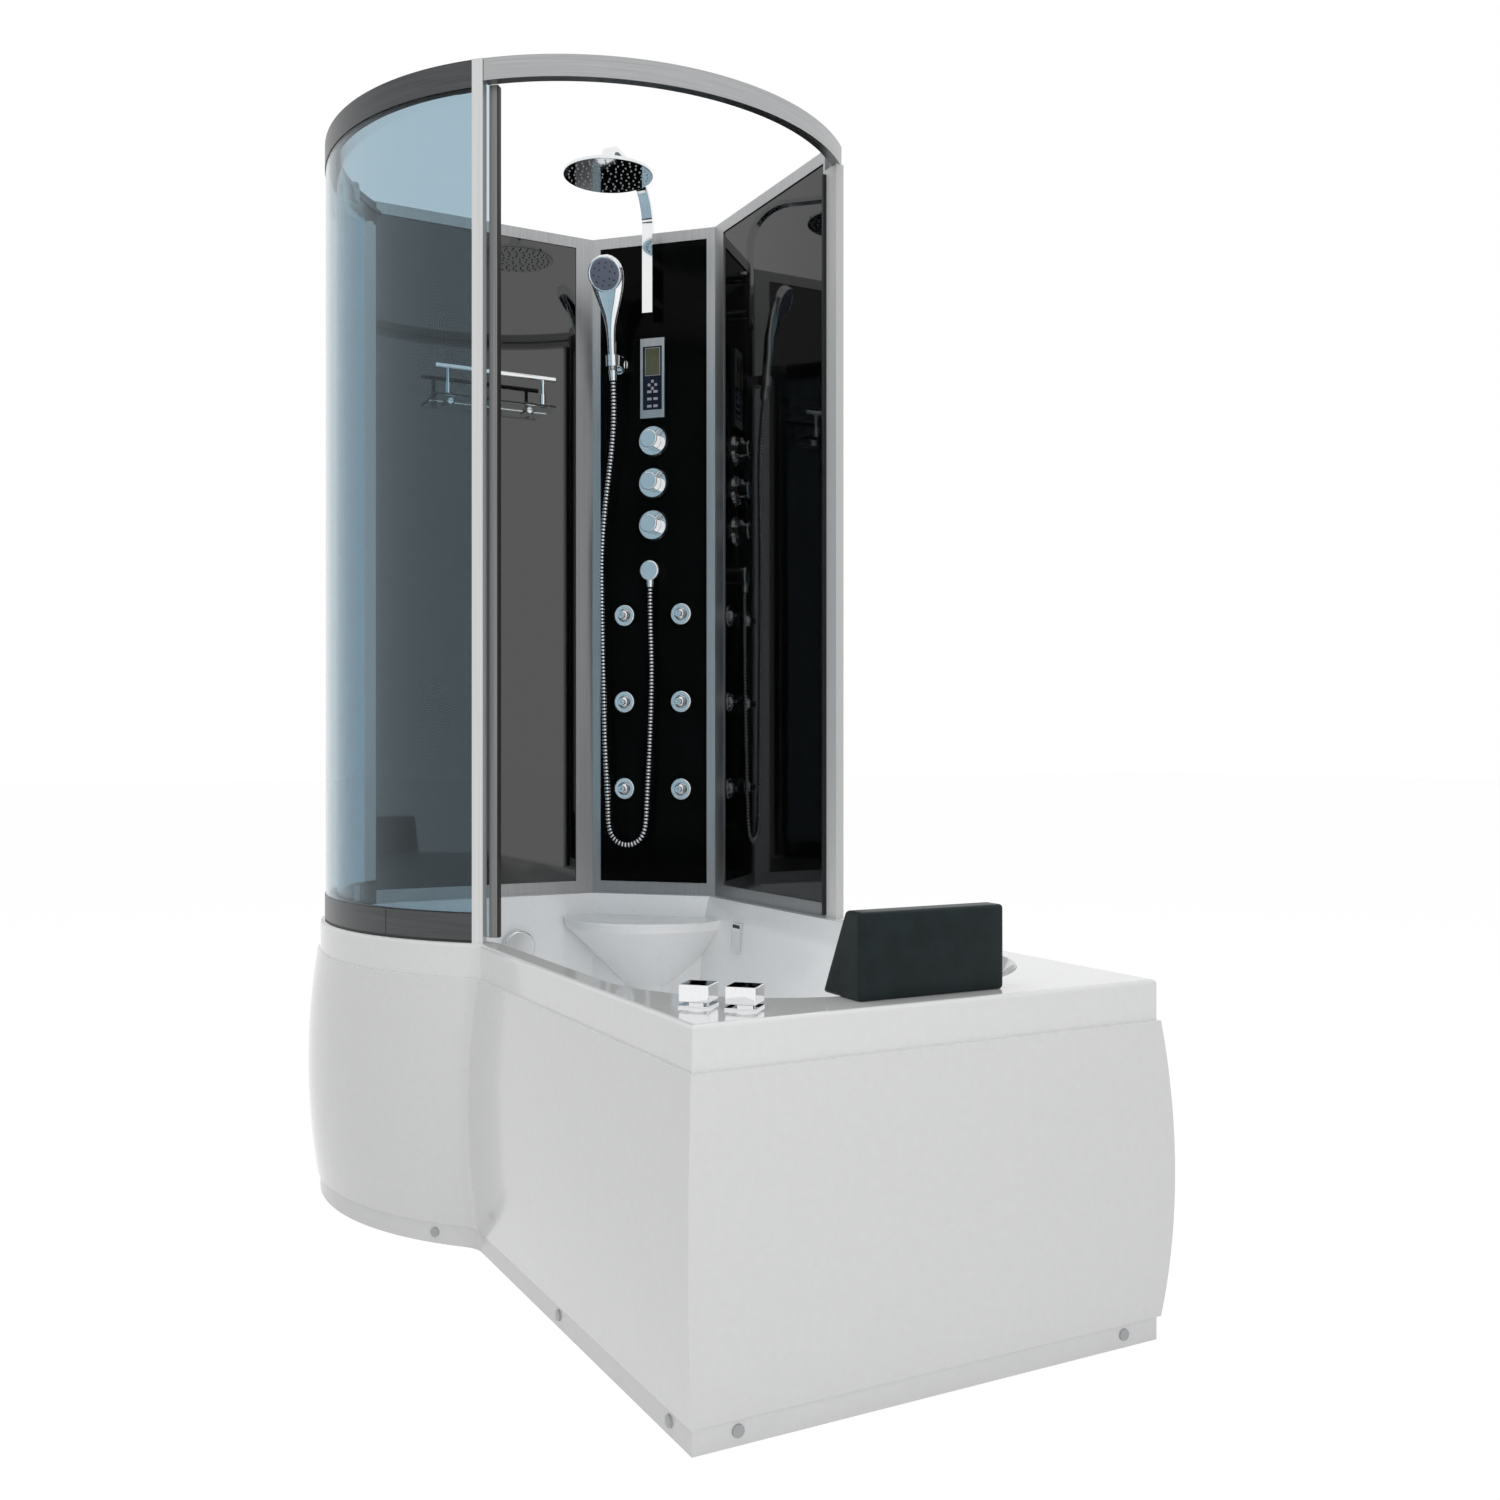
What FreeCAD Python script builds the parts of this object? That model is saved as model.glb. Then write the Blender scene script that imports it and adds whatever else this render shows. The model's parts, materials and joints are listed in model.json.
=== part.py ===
import FreeCAD, Part
import math
import os
import re
import types

# Shower cabin standing on the wide end of a P-shaped bath.
# +X runs to the foot end of the bath, +Y to the rear wall, +Z up, millimetres.

V = FreeCAD.Vector
UP = V(0, 0, 1)
PIECES = {}

# Driving dimensions
SIZES = {
    # bath
    "tub_length": 1694, "tub_width": 786, "rim_height": 548, "rim_band": 61, "rim_round": 7,
    "cabin_setback": 400, "bulge_radius": 565, "waist_round": 60, "skirt_wall": 10, "deck_wall": 10,
    "deck_width": 38, "end_deck_width": 92,
    "basin_floor": 130, "basin_draft": 147, "end_draft": 290, "shell_wall": 6, "overrun": 2,
    "seat_drop": 48, "seat_reach": 217, "seat_foot": 150, "seat_round": 18, "lip_round": 10,
    "seat_lip": 22, "seat_draft": 4, "seat_waist": 65, "seat_waist_drop": 219, "seat_edge": 5,
    # panels round the bath
    "front_swell": 24, "end_swell": 39, "apron_wall": 5, "apron_flange": 8, "plinth_height": 39,
    "plinth_wall": 10, "cap_radius": 8.5, "cap_depth": 2, "cap_stand": 3, "cap_clear": 0.3,
    "cap_height": 20, "cap_end_gap": 66,
    # carrier under the bath
    "frame_tube": 30, "frame_inset": 50, "frame_spread": 190, "foot_radius": 25, "foot_pad": 14,
    "stud_radius": 6,
    # waste and overflow
    "drain_offset": 150, "drain_hole": 26, "drain_flange": 36, "drain_lip": 3, "drain_wall": 3,
    "drain_fit": 0.3, "trap_radius": 42, "trap_top": 84, "trap_base": 18, "outlet_height": 58,
    "outlet_radius": 20, "outlet_wall": 2, "outlet_collar": 25, "outlet_free": 60, "outlet_gap": 25,
    "plug_radius": 31, "plug_cap": 5,
    "plug_stem": 5, "plug_stem_length": 42, "overflow_drop": 115, "overflow_side": 50,
    "overflow_radius": 38, "overflow_cap": 16, "overflow_stand": 7, "overflow_stem": 9,
    "overflow_body": 24, "overflow_pipe": 11, "overflow_pipe_inset": 22, "overflow_hole": 12,
    # bath taps and filler
    "tap_inset": 101, "tap_side_inset": 94, "tap_spacing": 66, "tap_cube": 43, "tap_height": 24,
    "tap_plate": 44,
    "tap_plate_height": 3, "tap_neck": 14, "tap_neck_height": 4, "tap_body_radius": 17,
    "tap_body_length": 62, "tap_spindle": 6,
    "spindle_height": 18, "running_fit": 0.05, "seat_gap": 0.4,
    "spout_offset": 32, "spout_drop": 77, "spout_width": 40, "spout_tall": 66, "spout_depth": 9,
    "spout_stub": 13,
    "spout_gap": 3, "spout_slot": 11, "spout_slot_side": 3, "spout_lip": 3,
    # headrest
    "rest_width": 258, "rest_inset": 41, "rest_height": 123, "rest_top": 42, "rest_foot": 104,
    "rest_crown": 5, "rest_offset": 9,
    # cabin walls
    "wall_top": 2150, "wall_depth": 18, "panel_wall": 6, "panel_sink": 3, "top_bar": 26,
    "foot_bar": 29, "inner_bar": 43, "outer_bar": 14.6, "post_bar": 7, "column_bar": 21,
    "left_reach": 392, "right_reach": 350, "post_width": 44,
    # round front
    "rail_radius": 556, "rail_depth": 20, "rail_height": 50, "door_rail_height": 40, "rail_top": 2146,
    "gasket": 5,
    "foot_rail": 48, "post_tangent": 21.5, "post_radial": 16, "post_proud": 2, "glass_wall": 6,
    "glass_inset": 1.5, "door_gap": 3.5, "door_foot": 8, "door_lap": 20, "door_span": 86,
    "post_angle": -43.5, "stile_tangent": 15, "stile_radial": 18, "stile_gap": 1,
    "door_park": 0.25, "seal_width": 6,
    "seal_out": 8, "jamb_width": 20, "jamb_depth": 26, "jamb_past": 22, "stile_edge": 3,
    "track_depth": 8, "track_height": 6, "track_rise": 26,
    "roller_radius": 7, "roller_width": 8, "hanger_wall": 5,
    "hanger_width": 30, "hanger_drop": 14, "guide_height": 34, "hanger_inset": 9,
    # shower column
    "arm_low": 1947, "arm_out": 30, "arm_wall": 10, "arm_width": 26, "arm_top": 2255,
    "arm_bend": 95, "arm_reach": 285, "arm_end_bend": 22, "arm_boss_radius": 13,
    "arm_boss_upper": 2078, "arm_boss_lower": 1983, "socket_radius": 15, "socket_height": 24,
    "ball_radius": 11, "rain_radius": 100, "rain_edge": 8, "rain_crown": 8, "rain_drop": 28,
    "rain_neck": 6, "rain_hub": 24, "dome_radius": 90,
    "knob_step": 102, "knob_low": 1443, "plate_radius": 38, "plate_height": 7, "knob_radius": 22,
    "knob_length": 30, "knob_stem": 9, "knob_gap": 1, "lever_radius": 3.5, "lever_length": 12,
    "edge_round": 1.5,
    "jet_across": 73, "jet_low": 803, "jet_step": 211, "jet_radius": 26, "jet_height": 9,
    "jet_ball": 16, "jet_snout": 8, "jet_snout_out": 8, "jet_bore": 3, "jet_hole": 18,
    "elbow_height": 1330, "elbow_radius": 25, "elbow_out": 29, "elbow_round": 5, "outlet_out": 18,
    "outlet_pipe": 9, "outlet_nut": 11, "outlet_drop": 40, "outlet_nut_height": 20,
    "control_low": 1702, "control_width": 62, "control_height": 193, "control_out": 8,
    "field_width": 49, "field_height": 154, "field_low": 19.5, "field_sink": 2, "screen_width": 36,
    "screen_height": 65, "screen_drop": 4.5, "key_out": 1, "key_radius": 4, "key_width": 12,
    "key_height": 7, "key_cross": 8.6, "key_cross_drop": 93.2, "key_column": 8, "key_row_drop": 106.3,
    "key_row_step": 17.4,
    # hand shower
    "hand_across": -85, "hand_out": 45, "hand_low": 1788, "hand_tilt": 5.7, "handle_foot": 9.5,
    "handle_neck": 13, "handle_length": 134, "nut_length": 24, "nut_radius": 11, "nut_tip": 9,
    "head_radius": 44, "head_back": 32, "head_depth": 26, "head_face": 38, "head_face_depth": 3,
    "head_pitch": 24, "head_lift": 92, "head_throw": 4, "grip_rise": 23, "holder_boss": 22,
    "holder_wall": 8, "holder_pin": 6, "holder_block": 22, "holder_pin_out": 20, "cheek_wall": 6,
    "clip_wall": 5, "clip_height": 26, "clip_fit": 0.3,
    # hose
    "hose_radius": 7, "hose_valley": 5.6, "hose_bore": 4, "hose_ribs": 176, "sew_fit": 0.01,
    "hose_lead": 88, "hose_out": 25, "hose_sway": 38.5, "hose_low": 668, "loop_rise": 29,
    "loop_left": -104.5, "loop_right": -9.5, "loop_cut": 27.5,
    # shelf on the side wall
    "shelf_height": 1709, "shelf_width": 288, "shelf_depth": 70, "shelf_wall": 6,
    "shelf_across": -107, "rail_bar": 6, "rail_rise": 70, "rail_out": 57, "rail_length": 292,
    "rail_post": 4.5, "rail_post_inset": 30, "bracket_radius": 11, "bracket_length": 22,
    "bracket_inset": 48, "sleeve_radius": 7, "sleeve_height": 26,
    # mixing valve behind the column
    "valve_width": 64, "valve_depth": 44, "valve_margin": 60, "inlet_radius": 10.4,
    "inlet_stub": 40, "inlet_spread": 40, "inlet_bore": 7.5,
}

# Shares of the basin depth and of its draft at each level of the wall
DEPTH_SHARES = (0.0, 0.05, 0.36, 0.70, 0.87, 0.96, 1.0)
DRAFT_SHARES = (0.0, 0.05, 0.17, 0.34, 0.50, 0.70, 1.0)
# Corners of the basin mouth and of its floor, as shares of the width of the bath
MOUTH_CORNER_SHARE = 0.3817
FLOOR_CORNER_SHARE = 0.1908
# Apron lip as a share of its swell, and the corner of an octagon as a share of its inner radius
LIP_SHARE = 0.25
OCTAGON_SHARE = math.tan(math.radians(22.5))
# Headrest: places along its width and the size of the section there
REST_PLACE_SHARES = (0.0, 0.05, 0.5, 0.95, 1.0)
REST_SIZE_SHARES = (0.90, 0.98, 1.0, 0.98, 0.90)
# One rib of the hose: places along the rib, crests in the middle
RIB_SHARES = (0.08, 0.34, 0.66, 0.92)
# Way of the hose down from the hand shower: fall, sideways sway and distance out of the column
FALL_SHARES = (0.172, 0.273, 0.379, 0.493, 0.608, 0.718, 0.828, 0.929)
SWAY_SHARES = (0.312, 0.727, 1.0, 0.987, 0.896, 0.831, 0.727, 0.571)
LEAN_SHARES = (0.25, 0.10, 0.03, 0.0, 0.02, 0.0, 0.02, 0.0)
# Way of the hose up to the elbow: rise, sideways swing and distance out of the column
RISE_SHARES = (0.132, 0.317, 0.519, 0.705, 0.857)
SWING_SHARES = (0.63, 0.05, -0.42, -0.53, 0.0)
RETURN_SHARES = (0.79, 0.64, 0.50, 0.28, 0.0)
# Each bend takes up this share of the shorter run beside it
BEND_SHARE = 0.45
# Plinth caps along the straight front, from the foot end
FRONT_CAP_SHARES = (0.077, 0.55)
# Plinth cap along the round end, from the side wall to the waist
BULGE_CAP_SHARE = 0.928
# Hangers along the door, from its leading edge
HANGER_SHARES = (0.07, 0.93)
# Lever of each knob, clockwise from the top
LEVER_ANGLE = 45

doc = FreeCAD.newDocument("shower_bath")
sheet = doc.addObject("Spreadsheet::Sheet", "dims")
for row, (alias, value) in enumerate(SIZES.items(), start=1):
    cell = "A%d" % row
    sheet.set(cell, str(value))
    sheet.setAlias(cell, alias)
doc.recompute()
d = types.SimpleNamespace(**{alias: float(sheet.get(alias)) for alias in SIZES})

# Places that follow from the driving dimensions
corner_x = (d.tub_length - d.end_swell) / 2
left_x = corner_x - d.tub_length
cabin_x = left_x + d.cabin_setback
front_reach = d.bulge_radius + d.front_swell - (d.tub_width - d.cabin_setback)
corner_y = (front_reach - d.tub_width) / 2
rear_y = corner_y + d.tub_width
cabin_y = rear_y - d.cabin_setback
rim_low = d.rim_height - d.rim_band
mouth_corner = d.tub_width * MOUTH_CORNER_SHARE
floor_corner = d.tub_width * FLOOR_CORNER_SHARE
wall_face = d.cabin_setback - d.wall_depth
wall_height = d.wall_top - d.rim_height
panel_face = wall_face + d.panel_sink
rail_inner = d.rail_radius - d.rail_depth
door_outer = rail_inner - d.door_gap
door_inner = door_outer - d.glass_wall
rail_low = d.rail_top - d.rail_height
foot_rail_low = d.rim_height + d.gasket
foot_rail_top = foot_rail_low + d.foot_rail
waist_reach = d.bulge_radius + d.waist_round
waist_x = cabin_x + math.sqrt(waist_reach ** 2 - (cabin_y - corner_y + d.waist_round) ** 2)
waist = V(waist_x, corner_y - d.waist_round, 0)
centre = V(cabin_x, cabin_y, 0)
WALL_TURN = {"right": 0, "column": 45, "left": 90}


def with_sheet(text):
    """Point each size in an expression at its cell."""
    def whole(word):
        name = word.group(0)
        return "dims." + name if name in SIZES else name

    return re.sub(r"[a-z_]+", whole, text)


def make(kind, sizes=None, base=None, turn=None, **links):
    """One document object with its sizes bound to the sheet, then placed."""
    obj = doc.addObject("Part::" + kind, kind)
    for name, text in (sizes or {}).items():
        obj.setExpression(name, with_sheet(text))
    for name, linked in links.items():
        setattr(obj, name, linked)
    if base is not None:
        obj.Placement = FreeCAD.Placement(base, turn or FreeCAD.Rotation())
    return obj


def box(length, width, height, low, turn=None):
    return make("Box", {"Length": length, "Width": width, "Height": height}, low, turn)


def rod(radius, length, start, axis=UP):
    return make("Cylinder", {"Radius": radius, "Height": length}, start, FreeCAD.Rotation(UP, axis))


def taper(foot, top, length, start, axis=UP):
    sizes = {"Radius1": foot, "Radius2": top, "Height": length}
    return make("Cone", sizes, start, FreeCAD.Rotation(UP, axis))


def ball(radius, middle):
    return make("Sphere", {"Radius": radius}, middle)


def fuse(*shapes):
    return make("MultiFuse", Shapes=list(shapes))


def group(*shapes):
    return make("Compound", Links=list(shapes))


def cut(base, *tools):
    tool = tools[0] if len(tools) == 1 else group(*tools)
    return make("Cut", Base=base, Tool=tool)


def solid(shape, base=None):
    """A shape that is worked out from the sheet's sizes, then placed."""
    obj = doc.addObject("Part::Feature", "Solid")
    obj.Shape = shape
    obj.Placement = FreeCAD.Placement(base or V(0, 0, 0), FreeCAD.Rotation())
    return obj


def rounded(base, radius, pick):
    """Round the edges that pick chooses."""
    doc.recompute()
    edges = [(n, radius, radius) for n, edge in enumerate(base.Shape.Edges, start=1) if pick(edge)]
    return make("Fillet", Base=base, Edges=edges)


def piece(label, obj):
    obj.Label = label
    PIECES[label] = obj
    return obj


def turned(angle):
    return FreeCAD.Rotation(UP, angle)


def on_wall(wall, across, out, height):
    """A point by its place across a wall, its distance out of the wall face and its height."""
    local = V(across, wall_face - out, height)
    return centre + turned(WALL_TURN[wall]).multVec(local)


def wall_way(wall, across, out, rise):
    """A direction given across a wall, out of it and up."""
    return turned(WALL_TURN[wall]).multVec(V(across, -out, rise))


def wall_box(wall, across, out, height, length, depth, rise, depth_value):
    """A box that starts at a distance out of a wall and stands out by its depth."""
    return box(length, depth, rise, on_wall(wall, across, out + depth_value, height), turned(WALL_TURN[wall]))


def sector(outer, inner, start, span, low, height):
    """A curved wall about the middle of the cabin."""
    place = centre + UP * low
    disc = make("Cylinder", {"Radius": outer, "Height": height}, place, turned(start))
    disc.Angle = span
    core = rod(inner, height + " + 2 * overrun", place - UP * d.overrun)
    return cut(disc, core)


def round_way(angle):
    return V(math.cos(math.radians(angle)), math.sin(math.radians(angle)), 0)


def on_round(radius, angle, height):
    return centre + round_way(angle) * radius + UP * height


def arc(start, middle, end):
    return Part.Arc(start, middle, end).toShape()


def line(start, end):
    return Part.LineSegment(start, end).toShape()


def bulge_edges(inset, height):
    """The round shower end and the hollow waist, from the side wall to the straight front."""
    lift = UP * height
    radius = d.bulge_radius - inset
    side = d.cabin_setback - inset
    side_angle = math.degrees(math.atan2(-math.sqrt(radius ** 2 - side ** 2), -side))
    to_waist = waist - centre
    waist_angle = math.degrees(math.atan2(to_waist.y, to_waist.x))
    start = on_round(radius, side_angle, height)
    middle = on_round(radius, (side_angle + waist_angle) / 2, height)
    end = on_round(radius, waist_angle, height)
    hollow = d.waist_round + inset
    hollow_angle = (waist_angle + 180 + 90) / 2
    hollow_middle = waist + round_way(hollow_angle) * hollow + lift
    hollow_end = waist + V(0, hollow, 0) + lift
    return start, hollow_end, [arc(start, middle, end), arc(end, hollow_middle, hollow_end)]


def rim_wire(inset, height):
    """The outline of the bath, drawn in by an inset."""
    lift = UP * height
    start, front, edges = bulge_edges(inset, height)
    near = V(corner_x - inset, corner_y + inset, 0) + lift
    far = V(corner_x - inset, rear_y - inset, 0) + lift
    back = V(left_x + inset, rear_y - inset, 0) + lift
    edges += [line(front, near), line(near, far), line(far, back), line(back, start)]
    return Part.Wire(edges)


def basin_wire(inset, end_inset, corner, height):
    """The opening of the basin at one level: octagonal under the walls, round at the foot end."""
    lift = UP * height
    start, front, edges = bulge_edges(inset, height)
    end_x = corner_x - end_inset
    low_y = corner_y + inset
    high_y = rear_y - inset
    bend = corner * math.cos(math.radians(45))
    low_middle = V(end_x - corner + bend, low_y + corner - bend, 0) + lift
    high_middle = V(end_x - corner + bend, high_y - corner + bend, 0) + lift
    reach = d.cabin_setback - inset
    points = [V(end_x - corner, low_y, 0) + lift, V(end_x, low_y + corner, 0) + lift]
    points += [V(end_x, high_y - corner, 0) + lift, V(end_x - corner, high_y, 0) + lift]
    points += [V(cabin_x - reach * OCTAGON_SHARE, cabin_y + reach, 0) + lift]
    points += [V(cabin_x - reach, cabin_y + reach * OCTAGON_SHARE, 0) + lift]
    edges += [line(front, points[0]), arc(points[0], low_middle, points[1]), line(points[1], points[2])]
    edges += [arc(points[2], high_middle, points[3]), line(points[3], points[4])]
    edges += [line(points[4], points[5]), line(points[5], start)]
    return Part.Wire(edges)


def basin_loft(outward, top, bottom):
    """The basin as a solid, grown outward by a wall."""
    wires = []
    for depth_share, draft_share in zip(DEPTH_SHARES, DRAFT_SHARES):
        height = top - (top - bottom) * depth_share
        inset = d.deck_width + d.basin_draft * draft_share - outward
        end_inset = d.end_deck_width + d.end_draft * draft_share - outward
        corner = mouth_corner + (floor_corner - mouth_corner) * draft_share
        wires.append(basin_wire(inset, end_inset, corner, height))
    return Part.makeLoft(wires, True, False)


def prism(wire, height):
    return Part.Face(wire).extrude(UP * height)


def basin_inset(height):
    """How far the basin wall stands in from the rim at a height."""
    share = (d.rim_height - height) / (d.rim_height - d.basin_floor)
    for n in range(1, len(DEPTH_SHARES)):
        if share <= DEPTH_SHARES[n]:
            step = (share - DEPTH_SHARES[n - 1]) / (DEPTH_SHARES[n] - DEPTH_SHARES[n - 1])
            share = DRAFT_SHARES[n - 1] + step * (DRAFT_SHARES[n] - DRAFT_SHARES[n - 1])
            return d.deck_width + d.basin_draft * share
    return d.deck_width + d.basin_draft


# Places of the fittings on the bath
drain = V(cabin_x + d.drain_offset, cabin_y - d.overflow_side, 0)
overflow_height = d.rim_height - d.overflow_drop
overflow = V(left_x + basin_inset(overflow_height), cabin_y - d.overflow_side, overflow_height)
spout_height = d.rim_height - d.spout_drop
spout = V(cabin_x + d.spout_offset, rear_y - basin_inset(spout_height), spout_height)
tap_way = V(1, 1, 0).normalize()
tap_middle = V(corner_x - d.tap_inset, corner_y + d.tap_side_inset, 0)
taps = {"hot": tap_middle - tap_way * (d.tap_spacing / 2), "cold": tap_middle + tap_way * (d.tap_spacing / 2)}


def turned_body(outline):
    """A round body about the column wall's middle line, from half of its section."""
    middle = on_wall("column", 0, 0, 0)
    points = [middle + V(reach, 0, height) for reach, height in outline]
    section = Part.Face(Part.makePolygon(points + [points[0]]))
    return section.revolve(middle, UP, 360)


def level_edges(body, height):
    """The round edges of a body that lie at one height."""
    found = []
    for edge in body.Edges:
        flat = edge.BoundBox.ZLength < d.running_fit
        if flat and abs(edge.BoundBox.ZMin - height) < d.running_fit:
            found.append(edge)
    return found


def build_tub_shell():
    slab = prism(rim_wire(0, rim_low), d.rim_band)
    top_edges = [edge for edge in slab.Edges if edge.BoundBox.ZMin > d.rim_height - d.overrun]
    slab = slab.makeFillet(d.rim_round, top_edges)
    pocket = prism(rim_wire(d.skirt_wall, rim_low - d.overrun), d.rim_band - d.deck_wall + d.overrun)
    bowl = basin_loft(d.shell_wall, d.rim_height - d.deck_wall / 2, d.basin_floor - d.shell_wall)
    cavity = basin_loft(0, d.rim_height, d.basin_floor)
    mouth = prism(basin_wire(d.deck_width, d.end_deck_width, mouth_corner, d.rim_height), d.overrun)
    seat_top = d.rim_height - d.seat_drop
    seat_low = d.basin_floor - d.shell_wall
    cone_top = d.seat_reach - d.seat_draft
    waist_z = d.rim_height - d.seat_waist_drop
    outline = [(0, seat_low), (d.seat_foot, seat_low), (d.seat_waist, waist_z)]
    outline += [(cone_top, seat_top - d.seat_lip), (d.seat_reach, seat_top), (0, seat_top)]
    seat = turned_body(outline)
    seat = seat.makeFillet(d.seat_edge, level_edges(seat, seat_top))
    seat = seat.makeFillet(d.seat_round, level_edges(seat, waist_z))
    inner_low = seat_low - d.overrun
    inner_top = seat_top - d.shell_wall
    inset = 2 * d.shell_wall
    outline = [(0, inner_low), (d.seat_foot - inset, inner_low), (d.seat_waist - inset, waist_z)]
    outline += [(cone_top - inset, inner_top), (0, inner_top)]
    hollow = turned_body(outline)
    cavity = cavity.cut(seat).fuse(mouth)
    shell = slab.cut(pocket).fuse(bowl).cut(cavity).cut(hollow)
    holes = [Part.makeCylinder(d.drain_hole, d.basin_floor, drain)]
    reach = d.cabin_setback
    holes.append(Part.makeCylinder(d.overflow_hole, reach, overflow - V(reach / 2, 0, 0), V(1, 0, 0)))
    holes.append(Part.makeCylinder(d.spout_stub + d.drain_fit, reach, spout - V(0, reach / 2, 0), V(0, 1, 0)))
    for place in taps.values():
        holes.append(Part.makeCylinder(d.tap_body_radius + d.drain_fit, d.rim_band, place + UP * rim_low))
        mouth = Part.makeCylinder(d.tap_body_radius + d.drain_fit, d.overrun, place + UP * d.rim_height)
        holes[-1] = holes[-1].fuse(mouth)
    shell = shell.cut(Part.makeCompound(holes)).removeSplitter()
    parts = sorted(shell.Solids, key=lambda body: body.Volume)
    piece("tub_shell", solid(parts[-1]))


def apron_face(swell, place, outward):
    """The section of a swelling side panel, in the plane of its outward direction."""
    lip = swell * LIP_SHARE
    wall = d.apron_wall
    low = d.plinth_height
    middle = (rim_low + low) / 2

    def at(out, height):
        return place + outward * out + UP * height

    outer = [at(-d.apron_flange, rim_low), at(lip, rim_low), at(swell, middle)]
    outer += [at(lip, low), at(-d.apron_flange, low)]
    inner = [at(-d.apron_flange, low + wall), at(lip - wall, low + wall), at(swell - wall, middle)]
    inner += [at(lip - wall, rim_low - wall), at(-d.apron_flange, rim_low - wall)]
    edges = [line(outer[0], outer[1]), arc(outer[1], outer[2], outer[3]), line(outer[3], outer[4])]
    edges += [line(outer[4], inner[0]), line(inner[0], inner[1]), arc(inner[1], inner[2], inner[3])]
    edges += [line(inner[3], inner[4]), line(inner[4], outer[0])]
    return Part.Face(Part.Wire(edges))


def mitre_block(side):
    """The space on one side of the mitre between the front and end panels."""
    near = V(corner_x, corner_y, 0)
    way = V(d.end_swell, -d.front_swell, 0).normalize()
    far = d.tub_length
    points = [near - way * far, near + way * far]
    points += [points[1] + side * far * 2, points[0] + side * far * 2]
    return Part.Face(Part.makePolygon(points + [points[0]])).extrude(UP * d.rim_height)


def build_aprons():
    front = V(0, -1, 0)
    end = V(1, 0, 0)
    over = d.end_swell + d.overrun
    section = apron_face(d.front_swell, V(waist_x, corner_y, 0), front)
    straight = section.extrude(V(corner_x - waist_x + over, 0, 0))
    to_waist = waist - centre
    waist_angle = math.degrees(math.atan2(to_waist.y, to_waist.x))
    hollow_turn = waist_angle + 180 - 90
    hollow = apron_face(d.front_swell, V(waist_x, corner_y, 0), front).revolve(waist, UP, hollow_turn)
    side_edges = bulge_edges(0, 0)[2]
    start = side_edges[0].Vertexes[0].Point - centre
    side_angle = math.degrees(math.atan2(start.y, start.x))
    spill = math.degrees(math.atan2(2 * d.front_swell, d.bulge_radius))
    section = apron_face(d.front_swell, on_round(d.bulge_radius, waist_angle, 0), round_way(waist_angle))
    bulge = section.revolve(centre, UP, side_angle - spill - waist_angle)
    run = bulge.fuse([hollow, straight]).removeSplitter()
    past_low = V(left_x - d.bulge_radius, -d.tub_length, 0)
    past_side = Part.makeBox(d.bulge_radius, 2 * d.tub_length, d.rim_height, past_low)
    run = run.cut(past_side).common(mitre_block(V(-1, 0, 0)))
    piece("front_apron", solid(run))
    foot = apron_face(d.end_swell, V(corner_x, corner_y - over, 0), end).extrude(V(0, d.tub_width + over, 0))
    piece("end_apron", solid(foot.common(mitre_block(V(1, 0, 0)))))


def build_plinth():
    ring = prism(rim_wire(0, 0), d.plinth_height).cut(prism(rim_wire(d.plinth_wall, 0), d.plinth_height))
    inner = V(left_x, rear_y - d.plinth_wall, 0)
    rear_strip = Part.makeBox(d.tub_length - d.plinth_wall, d.plinth_wall, d.plinth_height, inner)
    side_low = V(left_x, cabin_y - d.cabin_setback, 0)
    side_strip = Part.makeBox(d.plinth_wall, d.tub_width, d.plinth_height, side_low)
    ring = ring.cut(rear_strip).cut(side_strip)
    ring = sorted(ring.Solids, key=lambda body: body.Volume)[-1]
    straight = corner_x - waist_x
    side_point = bulge_edges(0, 0)[0] - centre
    side_angle = math.degrees(math.atan2(side_point.y, side_point.x))
    to_waist = waist - centre
    waist_angle = math.degrees(math.atan2(to_waist.y, to_waist.x))
    places = []
    for share in FRONT_CAP_SHARES:
        places.append((V(corner_x - straight * share, corner_y, d.cap_height), V(0, -1, 0)))
    cap_angle = side_angle + (waist_angle - side_angle) * BULGE_CAP_SHARE
    places.append((on_round(d.bulge_radius, cap_angle, d.cap_height), round_way(cap_angle)))
    for y in (corner_y + d.cap_end_gap, rear_y - d.cap_end_gap):
        places.append((V(corner_x, y, d.cap_height), V(1, 0, 0)))
    caps = []
    for place, way in places:
        seat = place - way * d.cap_depth
        ring = ring.cut(Part.makeCylinder(d.cap_radius + d.cap_clear, d.plinth_wall, seat, way))
        caps.append(rod("cap_radius", "cap_depth + cap_stand", seat, way))
    piece("plinth", solid(ring))
    piece("plinth_screw_caps", group(*caps))


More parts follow.
